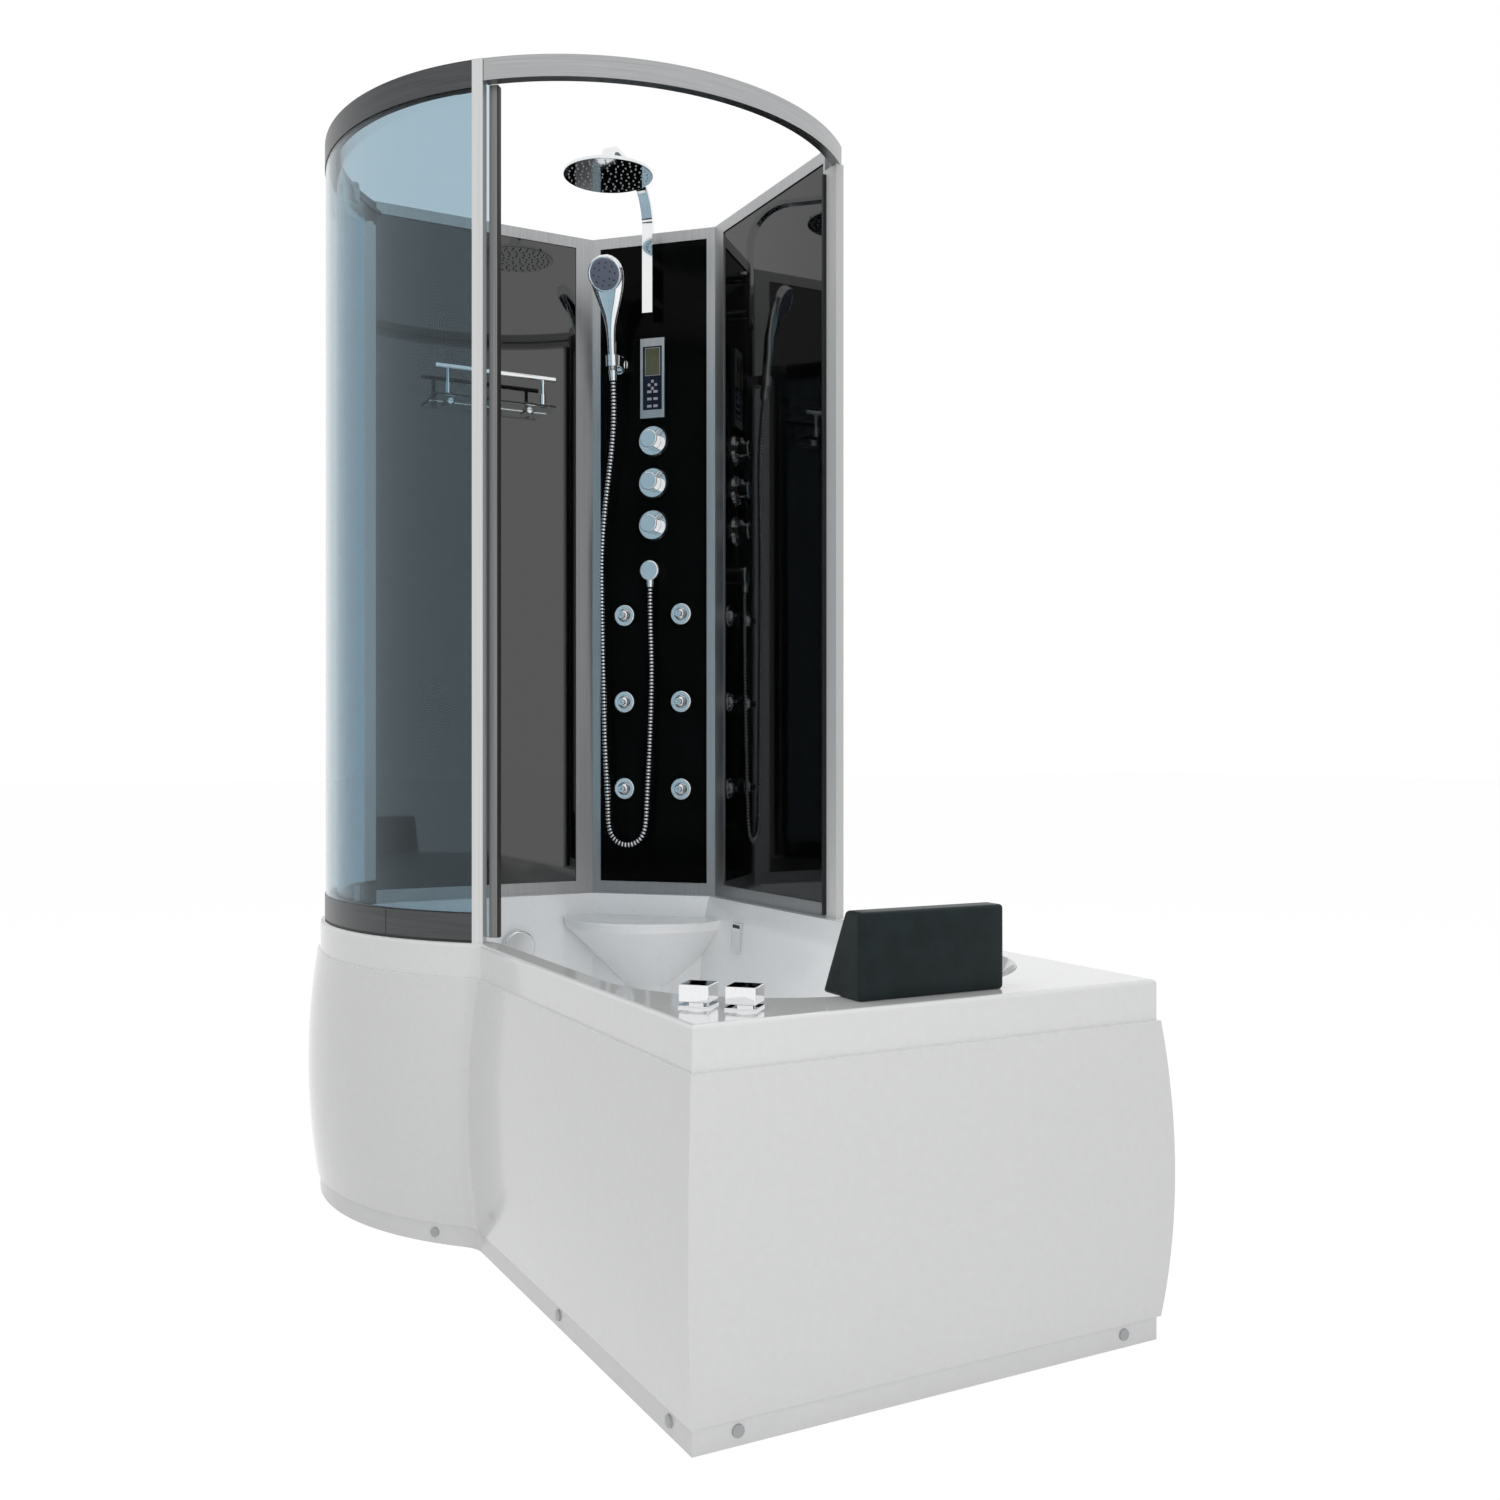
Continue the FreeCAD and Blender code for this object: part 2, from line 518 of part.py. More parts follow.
def build_carrier():
    top = d.basin_floor - d.shell_wall - d.seat_gap
    low = top - d.frame_tube
    half = d.frame_tube / 2
    end_x = corner_x - d.frame_inset
    side_x = left_x + d.frame_inset
    middle_x = (end_x + side_x) / 2
    rear = rear_y - d.frame_inset
    bars = []
    for y in (cabin_y - d.frame_spread, cabin_y + d.frame_spread):
        place = V(side_x - half, y - half, low)
        bars.append(box("tub_length - 2 * frame_inset + frame_tube", "frame_tube", "frame_tube", place))
    cross = "tub_width - 2 * frame_inset + frame_tube"
    for x in (side_x, middle_x, end_x):
        bars.append(box("frame_tube", cross, "frame_tube", V(x - half, corner_y + d.frame_inset - half, low)))
    post = "rim_height - deck_wall - basin_floor + shell_wall + seat_gap"
    corners = [(end_x, corner_y + d.frame_inset), (end_x, rear), (side_x, rear)]
    for x, y in corners:
        bars.append(box("frame_tube", "frame_tube", post, V(x - half, y - half, top)))
    piece("base_frame", fuse(*bars))
    feet = []
    for x in (side_x, middle_x, end_x):
        for y in (corner_y + d.frame_inset, rear):
            stud = rod("stud_radius", "basin_floor - shell_wall - seat_gap - frame_tube", V(x, y, 0))
            feet.append(fuse(rod("foot_radius", "foot_pad", V(x, y, 0)), stud))
    piece("levelling_feet", group(*feet))


def build_waste():
    floor = d.basin_floor
    seat = V(drain.x, drain.y, floor)
    flange = rod("drain_flange", "drain_lip", seat)
    tail = rod("drain_hole - drain_fit", "basin_floor + overrun - trap_top", V(drain.x, drain.y, d.trap_top))
    cup = rod("trap_radius", "trap_top - trap_base", V(drain.x, drain.y, d.trap_base))
    way_out = V(drain.x, drain.y, d.outlet_height)
    spigot = rod("outlet_radius", "cabin_setback + overflow_side - outlet_gap", way_out, V(0, 1, 0))
    collar_reach = "cabin_setback + overflow_side - outlet_gap - outlet_free"
    collar = rod("outlet_collar", collar_reach, way_out, V(0, 1, 0))
    throat_low = V(drain.x, drain.y, d.trap_base + d.drain_wall)
    throat = rod("drain_hole - drain_fit - drain_wall", "basin_floor - trap_base", throat_low)
    bore = rod("outlet_radius - outlet_wall", "cabin_setback + overflow_side", way_out, V(0, 1, 0))
    body = cut(fuse(flange, tail, cup, spigot, collar), throat, bore)
    pipe_x = left_x + d.overflow_pipe_inset
    run = V(pipe_x, drain.y, d.outlet_height)
    inlet_reach = "drain_offset + cabin_setback - overflow_pipe_inset"
    inlet = rod("overflow_pipe + drain_fit", inlet_reach, run, V(1, 0, 0))
    piece("waste_trap", cut(body, inlet))
    lift = seat + UP * (d.drain_lip + d.seat_gap)
    cap = taper("plug_radius", "plug_radius - plug_cap", "plug_cap", lift)
    stem = rod("plug_stem", "plug_stem_length", lift - UP * (d.plug_stem_length - d.plug_cap / 2))
    piece("drain_plug", fuse(cap, stem))
    drop = overflow.z - d.outlet_height
    drop = "rim_height - overflow_drop - outlet_height"
    down = rod("overflow_pipe", drop, V(pipe_x, drain.y, d.outlet_height))
    reach = "drain_offset + cabin_setback - overflow_pipe_inset - trap_radius + drain_wall"
    along = rod("overflow_pipe", reach, run, V(1, 0, 0))
    elbow = ball("overflow_pipe", run)
    rear_face = V(pipe_x - d.overflow_pipe, drain.y, overflow.z)
    depth = overflow.x - d.shell_wall - rear_face.x - d.spout_gap
    sleeve = make("Cylinder", {"Radius": "overflow_body"}, rear_face, FreeCAD.Rotation(UP, V(1, 0, 0)))
    sleeve.Height = depth
    to_room = FreeCAD.Rotation(UP, V(1, 0, 0))
    bush_start = rear_face + V(d.shell_wall, 0, 0)
    bush = make("Cylinder", {"Radius": "overflow_stem + running_fit"}, bush_start, to_room)
    bush.Height = depth
    piece("overflow_pipe", cut(fuse(down, along, elbow, sleeve), bush))
    face = overflow + V(d.overflow_stand, 0, 0)
    disc = rod("overflow_radius", "overflow_cap", face, V(1, 0, 0))
    front = face + V(d.overflow_cap, 0, 0)
    disc = rounded(disc, d.edge_round * 2, lambda edge: rim_edge(edge, front, d.overflow_radius))
    pin_start = rear_face + V(d.shell_wall + d.seat_gap, 0, 0)
    pin = make("Cylinder", {"Radius": "overflow_stem"}, pin_start, to_room)
    pin.Height = face.x - pin_start.x + d.overrun
    piece("overflow_knob", fuse(disc, pin))


def build_filler():
    """A wedge-shaped filler that stands out at its top and runs down to a thin lip."""
    low = spout.z - d.spout_tall / 2
    high = spout.z + d.spout_tall / 2
    left = spout.x - d.spout_width / 2
    rear_low = rear_y - basin_inset(low) - d.spout_gap
    rear_high = rear_y - basin_inset(high) - d.spout_gap
    face = rear_high - d.spout_depth
    points = [V(left, rear_low, low), V(left, rear_low - d.spout_lip, low), V(left, face, high)]
    points += [V(left, rear_high, high), V(left, rear_low, low)]
    wedge = Part.Face(Part.makePolygon(points)).extrude(V(d.spout_width, 0, 0))
    mouth_low = V(left + d.spout_slot_side, face - d.overrun, high - d.spout_slot)
    mouth = box("spout_width - 2 * spout_slot_side", "spout_depth", "spout_slot - spout_lip", mouth_low)
    stub = rod("spout_stub", "deck_width", spout - V(0, d.spout_gap + d.overrun, 0), V(0, 1, 0))
    piece("bath_spout", fuse(cut(solid(wedge), mouth), stub))


def build_taps():
    bodies = []
    diagonal = turned(45)
    for side, place in taps.items():
        deck = place + UP * d.rim_height
        half = diagonal.multVec(V(d.tap_plate / 2, d.tap_plate / 2, 0))
        plate = box("tap_plate", "tap_plate", "tap_plate_height", deck - half, diagonal)
        tail = rod("tap_body_radius", "tap_body_length", deck - UP * d.tap_body_length)
        spindle = rod("tap_spindle", "spindle_height + tap_plate_height + tap_neck_height", deck)
        neck = rod("tap_neck", "tap_plate_height + tap_neck_height", deck)
        bodies.append(fuse(plate, tail, neck, spindle))
        half = diagonal.multVec(V(d.tap_cube / 2, d.tap_cube / 2, 0))
        foot = deck + UP * (d.tap_plate_height + d.tap_neck_height + d.seat_gap)
        cube = box("tap_cube", "tap_cube", "tap_height", foot - half, diagonal)
        cube = rounded(cube, d.edge_round, lambda edge: True)
        socket = rod("tap_spindle + running_fit", "spindle_height", foot - UP * d.seat_gap / 2)
        piece("tap_handle_" + side, cut(cube, socket))
    piece("tap_bodies", group(*bodies))


def build_headrest():
    """A firm wedge with crowned faces that draws in towards its two ends."""
    front_x = corner_x - d.rest_inset
    low_y = corner_y + d.tub_width / 2 + d.rest_offset - d.rest_width / 2
    wires = []
    for place_share, size_share in zip(REST_PLACE_SHARES, REST_SIZE_SHARES):
        y = low_y + d.rest_width * place_share
        middle_x = front_x - d.rest_foot / 2
        height = d.rest_height * size_share

        def at(x, share):
            return V(middle_x + (x - middle_x) * size_share, y, d.rim_height + height * share)

        front = [at(front_x, 0), at(front_x + d.rest_crown, 0.5), at(front_x, 1)]
        top = [at(front_x - d.rest_top / 2, 1 + d.rest_crown / d.rest_height), at(front_x - d.rest_top, 1)]
        inner_x = (front_x - d.rest_top + front_x - d.rest_foot) / 2
        inner = [at(inner_x - d.rest_crown, 0.5), at(front_x - d.rest_foot, 0)]
        edges = [arc(front[0], front[1], front[2]), arc(front[2], top[0], top[1])]
        edges += [arc(top[1], inner[0], inner[1]), line(inner[1], front[0])]
        wires.append(Part.Wire(edges))
    piece("headrest", solid(Part.makeLoft(wires, True, True)))


def build_walls():
    reach = wall_face * OCTAGON_SHARE
    spans = {"left": (-d.left_reach, reach), "column": (-reach, reach), "right": (-reach, d.right_reach)}
    bars = {"left": ("outer_bar", "inner_bar"), "column": ("column_bar", "column_bar")}
    bars["right"] = ("inner_bar", "post_bar")
    rise = "wall_top - rim_height"
    window = "wall_top - rim_height - top_bar - foot_bar"
    for wall, (start, end) in spans.items():
        first, last = bars[wall]
        first_bar = getattr(d, first)
        panel_width = end - start - first_bar - getattr(d, last)
        frame = wall_box(wall, start, -d.wall_depth, d.rim_height, "wall_depth", "wall_depth", rise,
                         d.wall_depth)
        frame.setExpression("Length", None)
        frame.Length = end - start
        hole_out = -d.wall_depth - d.overrun
        depth = "wall_depth + 2 * overrun"
        hole_depth = d.wall_depth + 2 * d.overrun
        sill = d.rim_height + d.foot_bar
        hole = wall_box(wall, start + first_bar, hole_out, sill, "wall_depth", depth, window, hole_depth)
        hole.setExpression("Length", None)
        hole.Length = panel_width
        piece(wall + "_frame", cut(frame, hole))
        sink = -d.panel_sink - d.panel_wall
        panel = wall_box(wall, start + first_bar, sink, sill, "wall_depth", "panel_wall", window,
                         d.panel_wall)
        panel.setExpression("Length", None)
        panel.Length = panel_width
        if wall == "column":
            out = wall_way(wall, 0, 1, 0)
            holes = []
            for across, height in jet_places().values():
                holes.append(rod("jet_hole", "wall_depth", on_wall(wall, across, -d.wall_depth, height), out))
            panel = cut(panel, *holes)
        piece(wall + "_panel", panel)
    post_rise = "rail_top - door_rail_height - rim_height"
    post = wall_box("right", d.right_reach, -d.wall_depth, d.rim_height, "post_width", "wall_depth",
                    post_rise, d.wall_depth)
    piece("right_end_post", post)
    clear = "rail_top - rail_height - rim_height - gasket - foot_rail"
    jamb_start = -d.left_reach - d.jamb_past
    jamb = wall_box("left", jamb_start, 0, foot_rail_top, "jamb_depth", "jamb_width", clear, d.jamb_width)
    piece("left_end_post", jamb)


def build_round_front():
    post_half = math.degrees(math.asin(d.post_tangent / 2 / rail_inner))
    past = math.degrees(math.asin(d.post_width / d.rail_radius))
    beyond = V(cabin_x - wall_face - d.cabin_setback, cabin_y - 2 * d.cabin_setback, 0)
    behind_left = box("cabin_setback", "4 * cabin_setback", "rail_top", beyond)
    far_left = cabin_x - 2 * d.cabin_setback
    behind_right = box("4 * cabin_setback", "cabin_setback", "rail_top", V(far_left, rear_y, 0))
    wall_room = box("4 * cabin_setback", "cabin_setback", "rail_top", V(far_left, cabin_y + wall_face, 0))
    left_start = -180 + math.degrees(math.acos(wall_face / d.rail_radius)) - past
    left_span = d.post_angle - post_half - left_start
    right_start = d.post_angle + post_half
    right_span = math.degrees(math.asin(d.cabin_setback / rail_inner)) + past - right_start
    track = "rail_radius - rail_depth - track_depth"
    inner = "rail_radius - rail_depth"

    def rail(start, span, height, ledge_end):
        beam = sector("rail_radius", inner, start, span, d.rail_top - getattr(d, height), height)
        ledge = sector(inner, track, start, span, rail_low + d.track_rise, "track_height")
        return fuse(beam, cut(ledge, ledge_end))

    piece("top_rail_left", cut(rail(left_start, left_span, "rail_height", behind_left), behind_left))
    piece("top_rail_right", cut(rail(right_start, right_span, "door_rail_height", wall_room), behind_right))
    foot = sector("rail_radius", inner, left_start, left_span, foot_rail_low, "foot_rail")
    piece("bottom_rail", cut(foot, behind_left))
    gasket = cut(sector("rail_radius", inner, left_start, left_span, d.rim_height, "gasket"), behind_left)
    strip_rise = "rail_top - rail_height - rim_height - gasket"
    strip_low = d.rim_height + d.gasket
    strip = wall_box("right", d.right_reach, 0, strip_low, "seal_width", "seal_out", strip_rise, d.seal_out)
    piece("rubber_seals", group(gasket, strip))
    glass = "rail_radius - glass_inset"
    jamb_reach = (wall_face - d.jamb_width - d.stile_gap) / (d.rail_radius - d.glass_inset)
    jamb_angle = -90 - math.degrees(math.asin(jamb_reach))
    pane_span = d.post_angle - post_half - jamb_angle
    pane_rise = "rail_top - rail_height - rim_height - gasket - foot_rail"
    pane = sector(glass, glass + " - glass_wall", jamb_angle, pane_span, foot_rail_top, pane_rise)
    piece("fixed_glass", pane)
    way = round_way(d.post_angle)
    side = UP.cross(way)
    low = centre + way * (d.rail_radius + d.post_proud - d.post_radial) - side * (d.post_tangent / 2)
    foot_place = low + UP * d.rim_height
    post = box("post_radial", "post_tangent", "rail_top - rim_height", foot_place, turned(d.post_angle))
    piece("front_post", post)
    build_door(post_half)


def build_door(post_half):
    """The sliding door, parked open behind the fixed glass."""
    stile_middle = (door_outer + door_inner) / 2
    stile_half = math.degrees(math.asin(d.stile_tangent / 2 / stile_middle))
    lead = d.post_angle + post_half + d.door_park + 2 * stile_half
    low = d.rim_height + d.door_foot
    high = rail_low + d.door_lap
    rise = "rail_top - rail_height - rim_height - door_foot + door_lap"
    stile_rise = "rail_top - door_rail_height - rim_height - door_foot - seat_gap"
    tail = lead - d.door_span - stile_half
    outer = "rail_radius - rail_depth - door_gap"
    inner = outer + " - glass_wall"
    stile_low = lead - 2 * stile_half
    piece("door_glass", sector(outer, inner, tail, stile_low - tail, low, rise))
    edge = outer + " + stile_edge"
    stile = sector(edge, edge + " - stile_radial", stile_low, 2 * stile_half, low, stile_rise)
    piece("door_stile", stile)
    track_top = rail_low + d.track_rise + d.track_height
    rollers = []
    span = stile_low - tail
    for share in HANGER_SHARES:
        angle = stile_low - span * share
        way = round_way(angle)
        side = UP.cross(way)
        back = centre + way * (door_inner - d.clip_fit - d.hanger_wall) - side * (d.hanger_width / 2)
        head = track_top + d.seat_gap + d.roller_radius
        plate_low = high - d.hanger_drop
        sizes = {"Length": "hanger_wall", "Width": "hanger_width"}
        plate = make("Box", sizes, back + UP * plate_low, turned(angle))
        plate.Height = head + d.roller_radius / 2 - plate_low
        axle = centre + way * (door_inner - d.hanger_wall - d.overrun) + UP * head
        wheel = rod("roller_radius", "hanger_wall + overrun + roller_width", axle, way)
        rollers.append(fuse(plate, wheel))
        guide_low = back + UP * (low + d.hanger_inset)
        rollers.append(box("hanger_wall", "hanger_width", "guide_height", guide_low, turned(angle)))
    piece("door_rollers", group(*rollers))


def jet_places():
    places = {}
    for n in range(3):
        for side, across in (("left", -d.jet_across), ("right", d.jet_across)):
            places["%s_%d" % (side, n + 1)] = (across, d.jet_low + d.jet_step * n)
    return places


def build_jets():
    rings = []
    out = wall_way("column", 0, 1, 0)
    for label, (across, height) in jet_places().items():
        seat = on_wall("column", across, -d.panel_sink, height)
        hole = rod("jet_ball + running_fit", "3 * jet_height", seat - out * d.jet_height, out)
        ring = cut(rod("jet_radius", "jet_height", seat, out), hole)
        face = seat + out * d.jet_height
        ring = rounded(ring, d.edge_round * 2, lambda edge: rim_edge(edge, face, d.jet_radius))
        rings.append(ring)
        middle = seat + out * (d.jet_height / 2)
        snout = rod("jet_snout", "jet_ball + jet_snout_out", middle, out)
        bore = rod("jet_bore", "2 * jet_ball", middle, out)
        piece("jet_nozzle_" + label, cut(fuse(ball("jet_ball", middle), snout), bore))
    piece("jet_bodies", group(*rings))


def rim_edge(edge, middle, radius):
    """True for the circle of a radius about a point."""
    curve = getattr(edge, "Curve", None)
    if not isinstance(curve, Part.Circle):
        return False
    return abs(curve.Radius - radius) < d.running_fit and curve.Center.distanceToPoint(middle) < d.running_fit


def build_knobs():
    plates = []
    out = wall_way("column", 0, 1, 0)
    lean = math.radians(LEVER_ANGLE)
    lever_way = wall_way("column", math.sin(lean), 0, math.cos(lean))
    for n, label in enumerate(("lower", "middle", "upper")):
        seat = on_wall("column", 0, -d.panel_sink, d.knob_low + d.knob_step * n)
        plate = taper("plate_radius", "plate_radius - plate_height / 2", "plate_height", seat, out)
        hole = rod("knob_stem + running_fit", "3 * plate_height", seat - out * d.plate_height, out)
        plates.append(cut(plate, hole))
        foot = seat + out * (d.plate_height + d.knob_gap)
        grip = rod("knob_radius", "knob_length", foot, out)
        face = foot + out * d.knob_length
        grip = rounded(grip, d.edge_round * 2, lambda edge: rim_edge(edge, face, d.knob_radius))
        stem = rod("knob_stem", "plate_height + knob_gap", seat + out * d.seat_gap, out)
        lever = rod("lever_radius", "knob_radius + lever_length", foot + out * (d.knob_length / 2), lever_way)
        piece("knob_" + label, fuse(grip, stem, lever))
    piece("knob_plates", group(*plates))


def build_control_panel():
    half = d.control_width / 2
    case = wall_box("column", -half, -d.panel_sink, d.control_low, "control_width", "control_out",
                    "control_height", d.control_out)
    field_z = d.control_low + d.field_low
    field_out = d.control_out - d.panel_sink - d.field_sink
    half = d.field_width / 2
    recess = wall_box("column", -half, field_out - d.field_sink, field_z, "field_width", "3 * field_sink",
                      "field_height", 3 * d.field_sink)
    piece("control_panel", cut(case, recess))
    pad_out = field_out - d.field_sink
    pad = wall_box("column", -half, pad_out, field_z, "field_width", "field_sink", "field_height",
                   d.field_sink)
    screen_z = field_z + d.field_height - d.screen_drop - d.screen_height
    half = d.screen_width / 2
    cover = wall_box("column", -half, pad_out + d.field_sink, screen_z, "screen_width", "key_out",
                     "screen_height", d.key_out)
    piece("display_screen", cover)
    out = wall_way("column", 0, 1, 0)
    top = field_z + d.field_height
    face = pad_out + d.field_sink
    keys = [pad]
    for turn in range(4):
        way = round_way(90 * turn)
        place = on_wall("column", d.key_cross * way.x, face, top - d.key_cross_drop + d.key_cross * way.y)
        keys.append(rod("key_radius", "key_out", place, out))
    for n in range(3):
        height = top - d.key_row_drop - d.key_row_step * n - d.key_height
        for across in (-d.key_column, d.key_column):
            place = across - d.key_width / 2
            key = wall_box("column", place, face, height, "key_width", "key_out", "key_height", d.key_out)
            keys.append(key)
    piece("keypad", fuse(*keys))


def build_arm():
    """A flat bar that rises from two bosses and bends out over the cabin."""
    inner = d.arm_out
    outer = d.arm_out + d.arm_wall
    top = d.arm_top
    under = top - d.arm_wall
    bend = d.arm_bend
    tip = d.arm_reach
    tip_bend = d.arm_end_bend
    low_tip = top - d.arm_wall - tip_bend

    def at(out, height):
        return on_wall("column", -d.arm_width / 2, out, height)

    def corner(out, height, radius, angle):
        turn = math.radians(angle)
        return at(out + radius * math.cos(turn), height + radius * math.sin(turn))

    half = d.arm_wall / 2
    back = inner + bend + d.arm_wall
    rise = under - bend
    end_in = tip - half - tip_bend
    points = [at(inner, d.arm_low), at(inner, rise)]
    points += [corner(back, rise, bend + d.arm_wall, 135), at(back, top)]
    points += [at(end_in, top), corner(end_in, low_tip, tip_bend + d.arm_wall, 45), at(tip + half, low_tip)]
    points += [at(tip - half, low_tip), corner(end_in, low_tip, tip_bend, 45), at(end_in, under)]
    points += [at(back, under), corner(back, rise, bend, 135), at(outer, rise), at(outer, d.arm_low)]
    edges = [line(points[0], points[1]), arc(points[1], points[2], points[3]), line(points[3], points[4])]
    edges += [arc(points[4], points[5], points[6]), line(points[6], points[7])]
    edges += [arc(points[7], points[8], points[9])]
    edges += [line(points[9], points[10]), arc(points[10], points[11], points[12])]
    edges += [line(points[12], points[13]), line(points[13], points[0])]
    bar = Part.Face(Part.Wire(edges)).extrude(wall_way("column", 1, 0, 0) * d.arm_width)
    out = wall_way("column", 0, 1, 0)
    bosses = []
    for height in (d.arm_boss_lower, d.arm_boss_upper):
        foot = on_wall("column", 0, -d.panel_sink, height)
        boss_length = d.arm_out + d.panel_sink + d.arm_wall / 2
        bosses.append(Part.makeCylinder(d.arm_boss_radius, boss_length, foot, out))
    socket_top = on_wall("column", 0, tip, low_tip + d.arm_wall / 2)
    bar = bar.fuse(bosses).fuse(Part.makeCylinder(d.socket_radius, d.socket_height, socket_top, V(0, 0, -1)))
    ball_middle = socket_top - UP * (d.socket_height - d.ball_radius / 2)
    cup_low = ball_middle - UP * (d.socket_height - d.ball_radius - d.seat_gap)
    cup = Part.makeCylinder(d.ball_radius + d.running_fit, d.socket_height, cup_low)
    piece("shower_arm", solid(bar.cut(cup).removeSplitter()))
    plate = ball_middle - UP * d.rain_drop
    disc = rod("rain_radius", "rain_edge", plate)
    disc = rounded(disc, d.edge_round, lambda edge: edge.BoundBox.XLength > d.rain_radius)
    dome = taper("dome_radius", "rain_hub", "rain_crown", plate + UP * d.rain_edge)
    neck = rod("rain_neck", "rain_drop", plate)
    hub = rod("rain_hub / 2 + rain_neck / 2", "rain_crown + overrun", plate + UP * d.rain_edge)
    piece("rain_head", fuse(disc, dome, hub, neck, ball("ball_radius", ball_middle)))
    return ball_middle


def build_hand_shower():
    tilt = math.radians(d.hand_tilt)
    axis = wall_way("column", 0, math.sin(tilt), math.cos(tilt))
    foot = on_wall("column", d.hand_across, d.hand_out, d.hand_low)
    piece("hose_nut_hand", taper("nut_tip", "nut_radius", "nut_length", foot, axis))
    grip = foot + axis * d.nut_length
    handle = taper("handle_foot", "handle_neck", "handle_length", grip, axis)
    neck = grip + axis * d.handle_length
    pitch = math.radians(d.head_pitch)
    face_way = wall_way("column", 0, math.cos(pitch), -math.sin(pitch))
    head_up = wall_way("column", 0, math.sin(pitch), math.cos(pitch))
    back = neck + head_up * d.head_lift + face_way * (d.head_throw - d.head_depth)
    head = taper("head_back", "head_radius", "head_depth", back, face_way)
    spray = rod("head_face", "head_face_depth", back + face_way * d.head_depth, face_way)
    bridge = taper("handle_neck", "head_back", "head_lift", neck, head_up)
    piece("hand_shower", fuse(handle, ball("handle_neck", neck), bridge, head, spray))
    # holder: a boss with a cross bore, and a clip that turns in it
    hold = grip + axis * d.grip_rise
    pin_out = d.holder_pin_out
    height = hold.z
    boss_foot = on_wall("column", d.hand_across, -d.panel_sink, height)
    boss = rod("holder_boss", "holder_wall + panel_sink", boss_foot, wall_way("column", 0, 1, 0))
    half = d.holder_block / 2
    block = wall_box("column", d.hand_across - half, 0, height - half, "holder_block",
                     "holder_pin_out", "holder_block", pin_out)
    across = wall_way("column", 1, 0, 0)
    pin_middle = on_wall("column", d.hand_across, pin_out, height)
    knuckle = rod("holder_block / 2", "holder_block", pin_middle - across * half, across)
    bore = rod("holder_pin + running_fit", "2 * holder_block", pin_middle - across * d.holder_block, across)
    piece("holder_base", cut(fuse(boss, block, knuckle), bore))
    reach = half + d.clip_fit + d.cheek_wall
    pin_length = "holder_block + 2 * clip_fit + 2 * cheek_wall"
    pin = rod("holder_pin", pin_length, pin_middle - across * reach, across)
    tube_share = d.grip_rise / d.handle_length
    tube = d.handle_foot + (d.handle_neck - d.handle_foot) * tube_share
    hold_out = d.hand_out + (d.nut_length + d.grip_rise) * math.sin(tilt)
    cheeks = []
    for side in (-1, 1):
        start = d.hand_across + side * (half + d.clip_fit + d.cheek_wall / 2) - d.cheek_wall / 2
        low = height - d.holder_pin - d.cheek_wall
        cheek = make("Box", {"Length": "cheek_wall", "Height": "2 * holder_pin + 2 * cheek_wall"})
        cheek.Width = hold_out - pin_out + d.holder_pin
        cheek_low = on_wall("column", start, hold_out, low)
        cheek.Placement = FreeCAD.Placement(cheek_low, turned(WALL_TURN["column"]))
        cheeks.append(cheek)
    ring_low = hold - axis * (d.clip_height / 2)
    ring = make("Cylinder", {"Height": "clip_height"}, ring_low, FreeCAD.Rotation(UP, axis))
    ring.Radius = half + d.clip_fit + d.clip_wall
    handle_hole = taper("handle_foot + clip_fit", "handle_neck + clip_fit", "handle_length", grip, axis)
    room = wall_box("column", d.hand_across - half - d.clip_fit, 0, height - d.clip_height,
                    "holder_block + 2 * clip_fit", "holder_pin_out + holder_block / 2 + clip_fit",
                    "2 * clip_height", pin_out + half + d.clip_fit)
    body = cut(fuse(ring, *cheeks), handle_hole, room)
    piece("holder_clip", fuse(body, pin))
    return foot, axis


def build_elbow():
    out = wall_way("column", 0, 1, 0)
    seat = on_wall("column", 0, -d.panel_sink, d.elbow_height)
    cover = rod("elbow_radius", "elbow_out + panel_sink", seat, out)
    face = seat + out * (d.elbow_out + d.panel_sink)
    cover = rounded(cover, d.elbow_round, lambda edge: rim_edge(edge, face, d.elbow_radius))
    pipe_top = on_wall("column", 0, d.outlet_out, d.elbow_height)
    pipe = rod("outlet_pipe", "outlet_drop - outlet_nut_height / 2", pipe_top, V(0, 0, -1))
    nut_top = pipe_top - UP * (d.outlet_drop - d.outlet_nut_height)
    nut = taper("outlet_nut", "nut_tip", "outlet_nut_height", nut_top, V(0, 0, -1))
    piece("hose_elbow", fuse(cover, pipe, nut))


